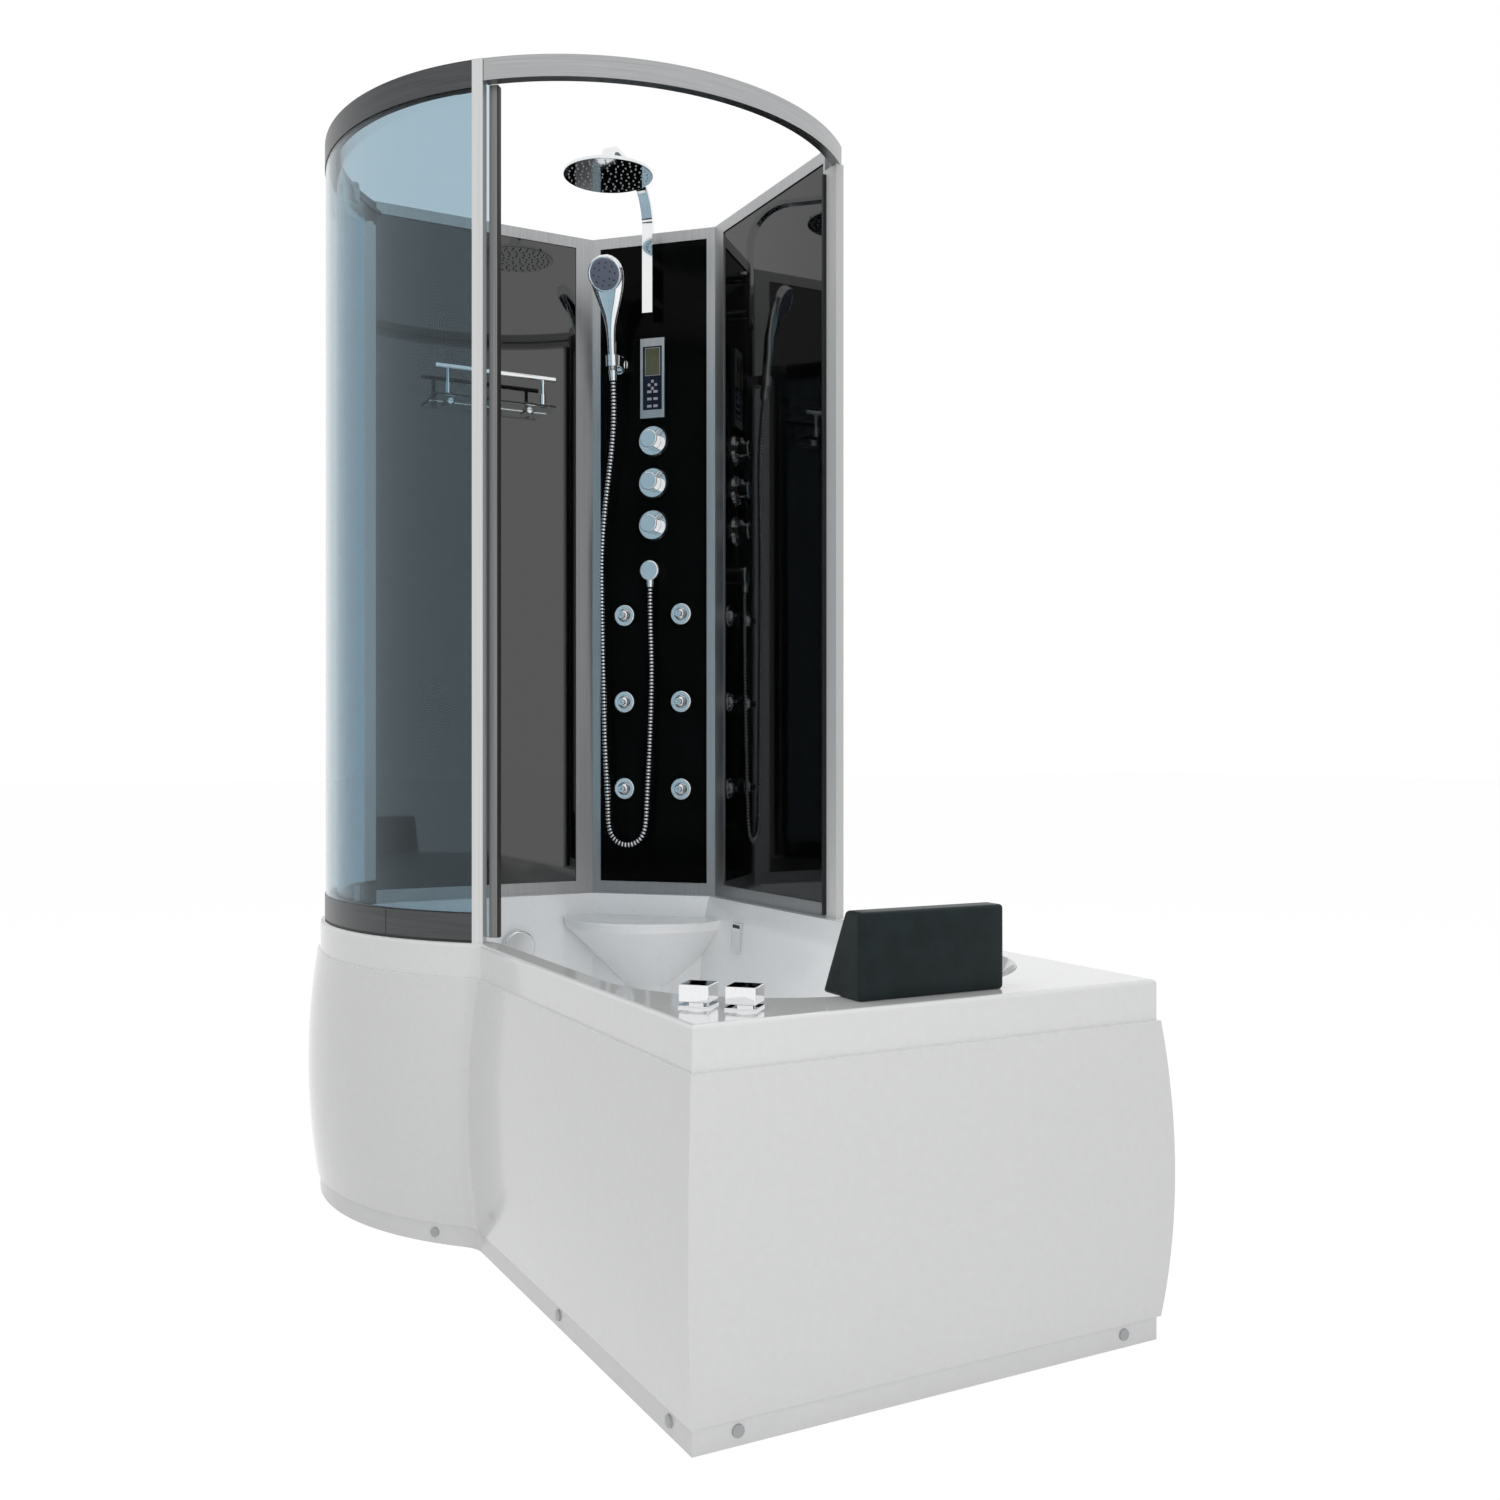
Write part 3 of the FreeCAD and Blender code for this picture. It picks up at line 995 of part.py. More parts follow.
def hose_route():
    """Hand-picked points of the hose: down from the hand shower, round the loop and up to the elbow."""
    tilt = math.radians(d.hand_tilt)
    end_z = d.elbow_height - d.outlet_drop
    turn_z = d.hose_low + d.loop_rise
    lead_out = d.hand_out - d.hose_lead * math.sin(tilt)
    points = [(d.hand_across, d.hand_out, d.hand_low)]
    points.append((d.hand_across, lead_out, d.hand_low - d.hose_lead * math.cos(tilt)))
    for fall, sway, lean in zip(FALL_SHARES, SWAY_SHARES, LEAN_SHARES):
        out = d.hose_out + (d.hand_out - d.hose_out) * lean
        points.append((d.hand_across - d.hose_sway * sway, out, d.hand_low - (d.hand_low - turn_z) * fall))
    points.append((d.loop_left, d.hose_out, turn_z))
    points.append((d.loop_left + d.loop_cut, d.hose_out, d.hose_low))
    points.append((d.loop_right - d.loop_cut, d.hose_out, d.hose_low))
    points.append((d.loop_right, d.hose_out, turn_z))
    for rise, swing, lean in zip(RISE_SHARES, SWING_SHARES, RETURN_SHARES):
        out = d.outlet_out + (d.hose_out - d.outlet_out) * lean
        points.append((d.loop_right * swing, out, turn_z + (end_z - turn_z) * rise))
    points.append((0, d.outlet_out, end_z))
    return [on_wall("column", *point) for point in points]


def hose_path(points):
    """Straight runs joined by tangent bends; returns the wire and the bend radii."""
    edges = []
    radii = []
    start = points[0]
    for before, here, after in zip(points, points[1:], points[2:]):
        into = here - before
        away = after - here
        turn = into.getAngle(away)
        trim = BEND_SHARE * min(into.Length, away.Length)
        radius = trim / math.tan(turn / 2)
        radii.append(radius)
        into.normalize()
        away.normalize()
        first = here - into * trim
        last = here + away * trim
        inside = (away - into).normalize()
        middle = here + inside * (radius / math.cos(turn / 2) - radius)
        edges += [line(start, first), arc(first, middle, last)]
        start = last
    edges.append(line(start, points[-1]))
    return Part.Wire(edges), radii


def at_length(wire, lengths):
    """Points and directions at distances along a wire."""
    found = []
    edges = wire.OrderedEdges
    past = 0
    n = 0
    for distance in lengths:
        while n < len(edges) - 1 and distance > past + edges[n].Length:
            past += edges[n].Length
            n += 1
        edge = edges[n]
        along = min(max(distance - past, 0), edge.Length)
        spot = edge.getParameterByLength(along)
        found.append((edge.valueAt(spot), edge.tangentAt(spot)))
    return found


def hose_skin(places, radii):
    """The skin through circles that all keep the same X axis."""
    steady = wall_way("column", 0, 1, 0)
    wires = []
    for (place, way), radius in zip(places, radii):
        side = (steady - way * steady.dot(way)).normalize()
        system = FreeCAD.Rotation(side, way.cross(side), way, "XYZ")
        circle = Part.Circle(V(0, 0, 0), UP, radius).toShape()
        circle.Placement = FreeCAD.Placement(place, system)
        wires.append(Part.Wire(circle))
    return wires, Part.makeLoft(wires, False, True)


def build_hose():
    wire, radii = hose_path(hose_route())
    length = wire.Length
    ribs = int(d.hose_ribs)
    end = 2 * d.hose_radius
    pitch = (length - 2 * end) / ribs
    lengths = [0]
    sizes = [d.hose_valley]
    for n in range(ribs):
        for share, size in zip(RIB_SHARES, (d.hose_valley, d.hose_radius, d.hose_radius, d.hose_valley)):
            lengths.append(end + pitch * (n + share))
            sizes.append(size)
    lengths.append(length)
    sizes.append(d.hose_valley)
    places = at_length(wire, lengths)
    outer_wires, outer = hose_skin(places, sizes)
    bore_places = at_length(wire, [0] + [end + pitch * n for n in range(ribs + 1)] + [length])
    bore_wires, bore = hose_skin(bore_places, [d.hose_bore] * len(bore_places))
    faces = outer.Faces + bore.Faces
    for outside, inside in ((outer_wires[0], bore_wires[0]), (outer_wires[-1], bore_wires[-1])):
        faces.append(Part.Face([outside, inside]))
    shell = Part.makeShell(faces)
    shell.sewShape()
    hose = Part.Solid(shell)
    hose.fix(d.sew_fit, d.sew_fit, d.sew_fit)
    piece("shower_hose", solid(hose))
    print("hose length %.0f, bend radii" % length, [round(radius) for radius in radii])
    runs = [a.distanceToPoint(b) for a, b in zip(hose_route(), hose_route()[1:])]
    print("hose runs", [round(run) for run in runs])
    plain = math.pi * (d.hose_radius ** 2 - d.hose_bore ** 2) * length
    print("hose volume %.0f of %.0f as a plain tube" % (hose.Volume, plain))


def build_shelf():
    """A glass plate held by two round wall clamps, with a guard rail on posts."""
    start = d.shelf_across - d.shelf_width / 2
    plate = wall_box("left", start, 0, d.shelf_height, "shelf_width", "shelf_depth", "shelf_wall",
                     d.shelf_depth)
    piece("shelf_glass", plate)
    across = wall_way("left", 1, 0, 0)
    out = wall_way("left", 0, 1, 0)
    middle = d.shelf_across
    seat = d.shelf_height + d.shelf_wall
    bar_start = on_wall("left", middle - d.rail_length / 2, d.rail_out, d.shelf_height + d.rail_rise)
    posts = [rod("rail_bar", "rail_length", bar_start, across)]
    clamps = []
    for side in (-1, 1):
        place = middle + side * (d.rail_length / 2 - d.rail_post_inset)
        foot = on_wall("left", place, d.rail_out, seat)
        posts.append(rod("rail_post", "rail_rise - shelf_wall", foot))
        posts.append(rod("sleeve_radius", "sleeve_height", foot))
        place = middle + side * (d.rail_length / 2 - d.bracket_inset)
        clamp_foot = on_wall("left", place, -d.panel_sink, d.shelf_height + d.shelf_wall / 2)
        clamp = rod("bracket_radius", "bracket_length + panel_sink", clamp_foot, out)
        face = clamp_foot + out * (d.bracket_length + d.panel_sink)
        clamp = rounded(clamp, d.elbow_round, lambda edge: rim_edge(edge, face, d.bracket_radius))
        slot_low = d.shelf_height - d.running_fit
        slot_depth = d.bracket_length + d.overrun
        slot_start = place - d.bracket_radius - d.overrun
        slot = wall_box("left", slot_start, -d.running_fit, slot_low, "2 * bracket_radius + 2 * overrun",
                        "bracket_length + overrun", "shelf_wall + 2 * running_fit", slot_depth)
        clamps.append(cut(clamp, slot))
    piece("shelf_rail", fuse(*posts))
    piece("shelf_brackets", group(*clamps))


def build_valve():
    low = d.knob_low - d.valve_margin
    behind = -d.panel_sink - d.panel_wall - d.valve_depth
    half = d.valve_width / 2
    body = wall_box("column", -half, behind, low, "valve_width", "valve_depth",
                    "2 * knob_step + 2 * valve_margin", d.valve_depth)
    back = wall_way("column", 0, -1, 0)
    stubs = []
    bores = []
    for across in (-d.inlet_spread / 2, d.inlet_spread / 2):
        foot = on_wall("column", across, behind, low + d.valve_margin / 2)
        stubs.append(rod("inlet_radius", "inlet_stub", foot, back))
        bores.append(rod("inlet_bore", "inlet_stub + overrun", foot, back))
    piece("mixing_valve", cut(fuse(body, *stubs), *bores))


def build_all():
    build_tub_shell()
    build_aprons()
    build_plinth()
    build_carrier()
    build_waste()
    build_filler()
    build_taps()
    build_headrest()
    build_walls()
    build_round_front()
    build_jets()
    build_knobs()
    build_control_panel()
    build_arm()
    build_hand_shower()
    build_elbow()
    build_hose()
    build_shelf()
    build_valve()


def write_pieces():
    doc.recompute()
    for obj in doc.Objects:
        if "Invalid" in obj.State or "Error" in obj.State:
            raise RuntimeError("not built: %s %s" % (obj.Name, obj.Label))
    for label, obj in PIECES.items():
        if obj.Shape.isNull() or not obj.Shape.isValid() or not obj.Shape.Solids:
            raise RuntimeError("bad shape: " + label)
    os.makedirs("parts", exist_ok=True)
    for label, obj in PIECES.items():
        obj.Shape.exportStep("parts/%s.step" % label)
    print(len(PIECES), "pieces")


build_all()
write_pieces()
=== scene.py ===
import json
import math

import bmesh
import bpy
from mathutils import Matrix, Vector


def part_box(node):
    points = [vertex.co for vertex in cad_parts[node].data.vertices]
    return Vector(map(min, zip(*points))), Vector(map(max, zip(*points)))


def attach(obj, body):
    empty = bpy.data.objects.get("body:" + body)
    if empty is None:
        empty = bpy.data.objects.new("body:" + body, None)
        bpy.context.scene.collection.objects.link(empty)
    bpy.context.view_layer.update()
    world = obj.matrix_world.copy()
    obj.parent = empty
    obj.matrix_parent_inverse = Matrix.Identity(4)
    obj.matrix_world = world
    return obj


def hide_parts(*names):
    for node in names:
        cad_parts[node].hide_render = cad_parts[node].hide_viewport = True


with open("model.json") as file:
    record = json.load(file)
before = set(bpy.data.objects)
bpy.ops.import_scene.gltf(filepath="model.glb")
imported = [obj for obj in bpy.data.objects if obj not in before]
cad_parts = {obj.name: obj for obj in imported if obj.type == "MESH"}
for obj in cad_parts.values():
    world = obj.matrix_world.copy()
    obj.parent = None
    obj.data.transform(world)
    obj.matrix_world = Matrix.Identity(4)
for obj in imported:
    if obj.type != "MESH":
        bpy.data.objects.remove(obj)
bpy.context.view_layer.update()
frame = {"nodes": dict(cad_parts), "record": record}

NODES = frame["nodes"]
SHELL = "bath_and_cabin"

# Middle of the round cabin, angles of the door's edge and of the lower rail's joint in degrees,
# the distance of the column's face from the middle and how the column is turned
CABIN = Vector((-0.4665, 0.0945, 0))
EDGE_ANGLE = -40.43
JOINT_ANGLE = -65.5
COLUMN_FACE = 0.382
COLUMN_TURN = math.radians(45)


def on_column(across, out, height):
    """A point by its place across the column, its distance out of it and its height."""
    turn = Matrix.Rotation(COLUMN_TURN, 3, "Z")
    return CABIN + turn @ Vector((across, COLUMN_FACE - out, height))


def column_way(across, out, rise):
    """A direction by its shares across the column, out of it and up."""
    return Matrix.Rotation(COLUMN_TURN, 3, "Z") @ Vector((across, -out, rise))


def column_matrix(across, out, height):
    """A frame on the column: X across it, Y into it, Z up."""
    place = Matrix.Translation(on_column(across, out, height))
    return place @ Matrix.Rotation(COLUMN_TURN, 4, "Z")


# ---- finishes

FLOAT = "NodeSocketFloat"
FINISHES = {}
# Middle of a noise's range, and how much finer the fine noise is than the slow one
NOISE_MIDDLE, FINE_SCALE = 0.5, 14.0
# Depth of the relief of each kind of skin, in metres
MOULDED_DEPTH, DRAWN_DEPTH, GRAIN_DEPTH = 0.0004, 0.0003, 0.0006
DRAWN_SPREAD, DRAWN_BUMP = 0.16, 0.05
GLASS_SCALE = 9.0
RIB_SPREAD, RIB_SCALE, RIB_LOW, RIB_HIGH = 0.06, 60.0, 0.25, 0.8


def effect(name, inputs, outputs):
    """An empty node group with its sockets; returns the tree and its two ends."""
    tree = bpy.data.node_groups.new(name, "ShaderNodeTree")
    for label, kind, value in inputs:
        socket = tree.interface.new_socket(label, in_out="INPUT", socket_type=kind)
        socket.default_value = value
    for label, kind in outputs:
        tree.interface.new_socket(label, in_out="OUTPUT", socket_type=kind)
    return tree, tree.nodes.new("NodeGroupInput"), tree.nodes.new("NodeGroupOutput")


def maths(tree, operation, first, second):
    """A maths node between sockets or plain numbers; returns its result."""
    node = tree.nodes.new("ShaderNodeMath")
    node.operation = operation
    for socket, value in zip(node.inputs, (first, second)):
        if isinstance(value, (int, float)):
            socket.default_value = value
        else:
            tree.links.new(value, socket)
    return node.outputs[0]


def seen_directly(tree):
    """A mask of the rays that reach the eye straight, through glass or by a mirror."""
    path = tree.nodes.new("ShaderNodeLightPath")
    camera, through = path.outputs["Is Camera Ray"], path.outputs["Is Transmission Ray"]
    seen = maths(tree, "MAXIMUM", camera, through)
    return maths(tree, "MAXIMUM", seen, path.outputs["Is Glossy Ray"])


def mix_surface(tree, share, first, second, end):
    """Two shaders mixed by a share, as the surface of an end node."""
    mix = tree.nodes.new("ShaderNodeMixShader")
    tree.links.new(share, mix.inputs["Fac"])
    tree.links.new(first, mix.inputs[1])
    tree.links.new(second, mix.inputs[2])
    tree.links.new(mix.outputs["Shader"], tree.nodes[end].inputs["Surface"])


def build_mottle():
    """Slow and fine unevenness of a moulded or polished skin."""
    inputs = [("Middle", FLOAT, 0.1), ("Spread", FLOAT, 0.05), ("Scale", FLOAT, 6.0)]
    tree, start, end = effect("Mottle", inputs, [("Value", FLOAT), ("Height", FLOAT)])
    place = tree.nodes.new("ShaderNodeTexCoord")
    slow = tree.nodes.new("ShaderNodeTexNoise")
    slow.inputs["Detail"].default_value = 4
    tree.links.new(place.outputs["Object"], slow.inputs["Vector"])
    tree.links.new(start.outputs["Scale"], slow.inputs["Scale"])
    fine = tree.nodes.new("ShaderNodeTexNoise")
    fine.inputs["Detail"].default_value = 2
    tree.links.new(place.outputs["Object"], fine.inputs["Vector"])
    tree.links.new(maths(tree, "MULTIPLY", start.outputs["Scale"], FINE_SCALE), fine.inputs["Scale"])
    centred = maths(tree, "SUBTRACT", slow.outputs["Fac"], NOISE_MIDDLE)
    shift = maths(tree, "MULTIPLY", centred, start.outputs["Spread"])
    tree.links.new(maths(tree, "ADD", start.outputs["Middle"], shift), end.inputs["Value"])
    tree.links.new(fine.outputs["Fac"], end.inputs["Height"])
    return tree


def build_streaks():
    """Fine drawn lines of an extruded or brushed metal; Stretch is small along the lines."""
    inputs = [("Middle", FLOAT, 0.3), ("Spread", FLOAT, 0.1)]
    inputs.append(("Stretch", "NodeSocketVector", (400, 400, 3)))
    tree, start, end = effect("Streaks", inputs, [("Value", FLOAT), ("Height", FLOAT)])
    place = tree.nodes.new("ShaderNodeTexCoord")
    mapping = tree.nodes.new("ShaderNodeMapping")
    tree.links.new(place.outputs["Object"], mapping.inputs["Vector"])
    tree.links.new(start.outputs["Stretch"], mapping.inputs["Scale"])
    noise = tree.nodes.new("ShaderNodeTexNoise")
    noise.inputs["Scale"].default_value = 1.0
    noise.inputs["Detail"].default_value = 3
    tree.links.new(mapping.outputs["Vector"], noise.inputs["Vector"])
    centred = maths(tree, "SUBTRACT", noise.outputs["Fac"], NOISE_MIDDLE)
    shift = maths(tree, "MULTIPLY", centred, start.outputs["Spread"])
    tree.links.new(maths(tree, "ADD", start.outputs["Middle"], shift), end.inputs["Value"])
    tree.links.new(noise.outputs["Fac"], end.inputs["Height"])
    return tree


def build_pores():
    """Pebbled grain of a soft skin."""
    inputs = [("Scale", FLOAT, 500.0)]
    tree, start, end = effect("Pores", inputs, [("Height", FLOAT), ("Tone", FLOAT)])
    place = tree.nodes.new("ShaderNodeTexCoord")
    cells = tree.nodes.new("ShaderNodeTexVoronoi")
    tree.links.new(place.outputs["Object"], cells.inputs["Vector"])
    tree.links.new(start.outputs["Scale"], cells.inputs["Scale"])
    noise = tree.nodes.new("ShaderNodeTexNoise")
    noise.inputs["Scale"].default_value = 30
    tree.links.new(place.outputs["Object"], noise.inputs["Vector"])
    tree.links.new(cells.outputs["Distance"], end.inputs["Height"])
    tree.links.new(noise.outputs["Fac"], end.inputs["Tone"])
    return tree


MOTTLE = build_mottle()
STREAKS = build_streaks()
PORES = build_pores()


class Finish:
    """A material with one Principled shader, and the few links that its surface needs."""

    def __init__(self, name, **sockets):
        material = bpy.data.materials.new(name)
        material.use_nodes = True
        FINISHES[name] = material
        self.tree = material.node_tree
        self.shader = self.tree.nodes["Principled BSDF"]
        for label, value in sockets.items():
            self.shader.inputs[label.replace("_", " ")].default_value = value

    def put(self, group, **values):
        node = self.tree.nodes.new("ShaderNodeGroup")
        node.node_tree = group
        for label, value in values.items():
            node.inputs[label].default_value = value
        return node

    def link(self, source, label):
        self.tree.links.new(source, self.shader.inputs[label])

    def tint(self, mask, dark, light, low=0.3, high=0.7):
        """Base colour between two tones, by a mask."""
        ramp = self.tree.nodes.new("ShaderNodeValToRGB")
        ramp.color_ramp.elements[0].position = low
        ramp.color_ramp.elements[0].color = (*dark, 1)
        ramp.color_ramp.elements[1].position = high
        ramp.color_ramp.elements[1].color = (*light, 1)
        self.tree.links.new(mask, ramp.inputs["Fac"])
        self.link(ramp.outputs["Color"], "Base Color")

    def bump(self, height, strength, distance):
        node = self.tree.nodes.new("ShaderNodeBump")
        node.inputs["Strength"].default_value = strength
        node.inputs["Distance"].default_value = distance
        self.tree.links.new(height, node.inputs["Height"])
        self.link(node.outputs["Normal"], "Normal")


def moulded(name, dark, light, rough, spread=0.05, scale=6.0, bump=0.02, **sockets):
    """A moulded, painted or polished skin."""
    finish = Finish(name, **sockets)
    skin = finish.put(MOTTLE, Middle=rough, Spread=spread, Scale=scale)
    finish.link(skin.outputs["Value"], "Roughness")
    finish.tint(skin.outputs["Height"], dark, light)
    if bump:
        finish.bump(skin.outputs["Height"], bump, MOULDED_DEPTH)


def drawn(name, dark, light, rough, stretch):
    """Extruded metal with fine lines along it."""
    finish = Finish(name, Metallic=1.0)
    lines = finish.put(STREAKS, Middle=rough, Spread=DRAWN_SPREAD, Stretch=stretch)
    finish.link(lines.outputs["Value"], "Roughness")
    finish.tint(lines.outputs["Height"], dark, light)
    finish.bump(lines.outputs["Height"], DRAWN_BUMP, DRAWN_DEPTH)


def grained(name, dark, light, rough, scale, bump):
    """Foam with a pebbled skin."""
    finish = Finish(name, Roughness=rough, Specular_IOR_Level=0.16)
    pores = finish.put(PORES, Scale=scale)
    finish.tint(pores.outputs["Tone"], dark, light)
    finish.bump(pores.outputs["Height"], bump, GRAIN_DEPTH)


def clear(name, colour, rough, ior):
    """Glass that lets the studio light through to what stands behind it."""
    finish = Finish(name, Transmission_Weight=1.0, IOR=ior, Base_Color=(*colour, 1))
    skin = finish.put(MOTTLE, Middle=rough, Spread=rough, Scale=GLASS_SCALE)
    finish.link(skin.outputs["Value"], "Roughness")
    tree = finish.tree
    path = tree.nodes.new("ShaderNodeLightPath")
    through = tree.nodes.new("ShaderNodeBsdfTransparent")
    through.inputs["Color"].default_value = (*colour, 1)
    shadow, glass = path.outputs["Is Shadow Ray"], finish.shader.outputs["BSDF"]
    mix_surface(tree, shadow, glass, through.outputs["BSDF"], "Material Output")


def ribbed(name, groove_shade, crest, rough):
    """Metal with painted shade in the grooves between its ribs; the piece marks them itself."""
    finish = Finish(name, Metallic=1.0)
    skin = finish.put(MOTTLE, Middle=rough, Spread=RIB_SPREAD, Scale=RIB_SCALE)
    finish.link(skin.outputs["Value"], "Roughness")
    mark = finish.tree.nodes.new("ShaderNodeAttribute")
    mark.attribute_name = "crest"
    # The grooves get painted shade: the base colour runs from near black in them to chrome on the
    # crests.
    finish.tint(mark.outputs["Fac"], groove_shade, crest, RIB_LOW, RIB_HIGH)


UPRIGHT = (420, 420, 2.5)
LEVEL = (6, 6, 420)
WHITE_COAT = {"Coat_Weight": 0.4, "Coat_Roughness": 0.04}
moulded("white_acrylic", (0.885, 0.89, 0.895), (0.905, 0.91, 0.915), 0.09, **WHITE_COAT)
moulded("white_panel", (0.815, 0.818, 0.822), (0.835, 0.838, 0.842), 0.10, **WHITE_COAT)
moulded("white_plinth", (0.83, 0.833, 0.836), (0.85, 0.853, 0.856), 0.18)
moulded("cap_plastic", (0.44, 0.45, 0.46), (0.5, 0.51, 0.52), 0.3, scale=30)
moulded("frame_steel", (0.33, 0.34, 0.35), (0.45, 0.46, 0.47), 0.42, 0.2, 20, Metallic=0.8)
moulded("foot_plastic", (0.02, 0.02, 0.021), (0.035, 0.035, 0.036), 0.5, scale=40, bump=0.15)
moulded("pipe_plastic", (0.66, 0.66, 0.65), (0.72, 0.72, 0.71), 0.4, scale=20)
moulded("chrome", (0.80, 0.81, 0.82), (0.86, 0.87, 0.88), 0.05, 0.04, 30, 0, Metallic=1.0)
# The hose's first colour is painted shade, near black in its grooves.
ribbed("hose_chrome", (0.01, 0.01, 0.011), (0.82, 0.83, 0.84), 0.14)
grained("headrest_foam", (0.009, 0.015, 0.016), (0.014, 0.023, 0.024), 0.4, 420, 0.35)
moulded("dark_panel", (0.0012, 0.0013, 0.0014), (0.002, 0.0021, 0.0022), 0.03, 0.02, 3, 0, IOR=1.88)
moulded("rear_panel", (0.0008, 0.0008, 0.0009), (0.0012, 0.0012, 0.0013), 0.03, 0.02, 3, 0, IOR=1.5)
moulded("black_panel", (0.0012, 0.0014, 0.0013), (0.0022, 0.0024, 0.0023),
        0.12, 0.05, 5, 0, Specular_IOR_Level=0.04)
drawn("satin_upright", (0.41, 0.415, 0.42), (0.49, 0.495, 0.50), 0.38, UPRIGHT)
drawn("satin_post", (0.61, 0.612, 0.614), (0.70, 0.702, 0.704), 0.38, UPRIGHT)
drawn("satin_stile", (0.19, 0.193, 0.196), (0.30, 0.303, 0.306), 0.36, UPRIGHT)
drawn("satin_level", (0.39, 0.395, 0.40), (0.47, 0.475, 0.48), 0.34, LEVEL)
moulded("satin_coat", (0.64, 0.64, 0.642), (0.68, 0.68, 0.682), 0.4, 0.1, 40, 0.05)
drawn("satin_dark", (0.072, 0.075, 0.078), (0.098, 0.1, 0.104), 0.34, LEVEL)
moulded("seal_rubber", (0.006, 0.006, 0.006), (0.012, 0.012, 0.012), 0.55, scale=40, bump=0.1)
clear("tinted_glass", (0.585, 0.69, 0.745), 0.012, 1.27)
clear("shelf_clear_glass", (0.86, 0.93, 0.92), 0.01, 1.45)
moulded("roller_plastic", (0.36, 0.37, 0.38), (0.44, 0.45, 0.46), 0.35, scale=40)
drawn("control_silver", (0.42, 0.43, 0.44), (0.50, 0.51, 0.52), 0.38, UPRIGHT)
moulded("keypad_foil", (0.010, 0.013, 0.028), (0.014, 0.018, 0.036),
        0.3, 0.05, 60, 0.05, Specular_IOR_Level=0.1)
moulded("key_print", (0.38, 0.39, 0.42), (0.46, 0.47, 0.50), 0.4, scale=80, bump=0.05)
moulded("screen_glass", (0.085, 0.088, 0.045), (0.115, 0.118, 0.062), 0.14, scale=60, bump=0)
moulded("spray_plastic", (0.18, 0.187, 0.255), (0.225, 0.232, 0.31), 0.3, scale=60, bump=0.05)
# Near black, painted shade for the spray holes and the filler's slot.
moulded("hole_shade", (0.008, 0.008, 0.012), (0.014, 0.014, 0.02), 0.4, scale=80, bump=0.05)
moulded("nozzle_rubber", (0.60, 0.60, 0.60), (0.70, 0.70, 0.70), 0.45, scale=80, bump=0.1)
moulded("valve_brass", (0.42, 0.29, 0.10), (0.55, 0.40, 0.17), 0.35, 0.2, 25, 0.2, Metallic=1.0)

SLOT_FINISH = {"hand_chrome": "chrome", "holder_chrome": "chrome", "jet_chrome": "chrome",
               "satin_aluminium": "satin_upright"}
NODE_FINISH = {"top_rail_left": "satin_dark", "bottom_rail": "satin_dark",
               "top_rail_right": "satin_level",
               "front_post": "satin_post", "right_end_post": "satin_coat", "door_stile": "satin_stile",
               "column_panel": "black_panel", "right_panel": "rear_panel"}


def wear(obj, finish):
    """Give an object one finish."""
    if obj.material_slots:
        for place in obj.material_slots:
            place.material = FINISHES[finish]
    else:
        obj.data.materials.append(FINISHES[finish])


def dress_nodes():
    """Give every CAD node the finish of its own or of its slot."""
    for entry in frame["record"]["subparts"]:
        node, slot = entry["node"], entry["material_slot"]
        wear(NODES[node], NODE_FINISH.get(node, SLOT_FINISH.get(slot, slot)))


# ---- new pieces


def add_piece(name, shape, finish, body, smooth=True):
    """Turn a bmesh into a piece that rides on a body."""
    bmesh.ops.recalc_face_normals(shape, faces=shape.faces)
    mesh = bpy.data.meshes.new(name)
    shape.to_mesh(mesh)
    shape.free()
    for face in mesh.polygons:
        face.use_smooth = smooth
    obj = bpy.data.objects.new(name, mesh)
    bpy.context.scene.collection.objects.link(obj)
    wear(obj, finish)
    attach(obj, body)
    return obj


def ring_frame(place, way, steady):
    """A frame whose Z runs along way and whose X stays near steady."""
    way = way.normalized()
    side = (steady - way * steady.dot(way)).normalized()
    return Matrix.Translation(place) @ Matrix((side, way.cross(side), way)).transposed().to_4x4()


def sleeve(rings, sides, steady):
    """A skin drawn through rings: each is a place, a direction and two radii."""
    shape = bmesh.new()
    frames = []
    for place, way, wide, deep in rings:
        frames.append(ring_frame(place, way, steady) @ Matrix.Diagonal((wide, deep, 1, 1)))
    made = bmesh.ops.create_circle(shape, segments=sides, radius=1.0, matrix=frames[0])
    edges = list({edge for vert in made["verts"] for edge in vert.link_edges})
    bmesh.ops.holes_fill(shape, edges=edges, sides=sides)
    for before, after in zip(frames, frames[1:]):
        grown = bmesh.ops.extrude_edge_only(shape, edges=edges)["geom"]
        verts = [part for part in grown if isinstance(part, bmesh.types.BMVert)]
        grown_edges = [part for part in grown if isinstance(part, bmesh.types.BMEdge)]
        edges = [edge for edge in grown_edges if all(vert in verts for vert in edge.verts)]
        bmesh.ops.transform(shape, matrix=after @ before.inverted(), verts=verts)
    bmesh.ops.holes_fill(shape, edges=edges, sides=sides)
    return shape


# Points of the hose: across the column, out of it and up, in metres
HOSE_ROUTE = (
    (-0.085, 0.045, 1.788), (-0.085, 0.0363, 1.7004), (-0.097, 0.030, 1.6004),
    (-0.113, 0.027, 1.4902), (-0.1235, 0.0256, 1.3745), (-0.123, 0.025, 1.2501),
    (-0.1195, 0.0254, 1.1247), (-0.117, 0.025, 1.0047), (-0.113, 0.0254, 0.8847),
    (-0.107, 0.025, 0.7745), (-0.1045, 0.025, 0.697), (-0.077, 0.025, 0.668),
    (-0.037, 0.025, 0.668), (-0.0095, 0.025, 0.697), (-0.006, 0.0235, 0.7753),
    (-0.0005, 0.0225, 0.885), (0.004, 0.0215, 1.0048), (0.005, 0.020, 1.1151),
    (0.0, 0.018, 1.2052), (0.0, 0.018, 1.29),
)
CURVE_ORDER, CURVE_STEPS = 3, 24


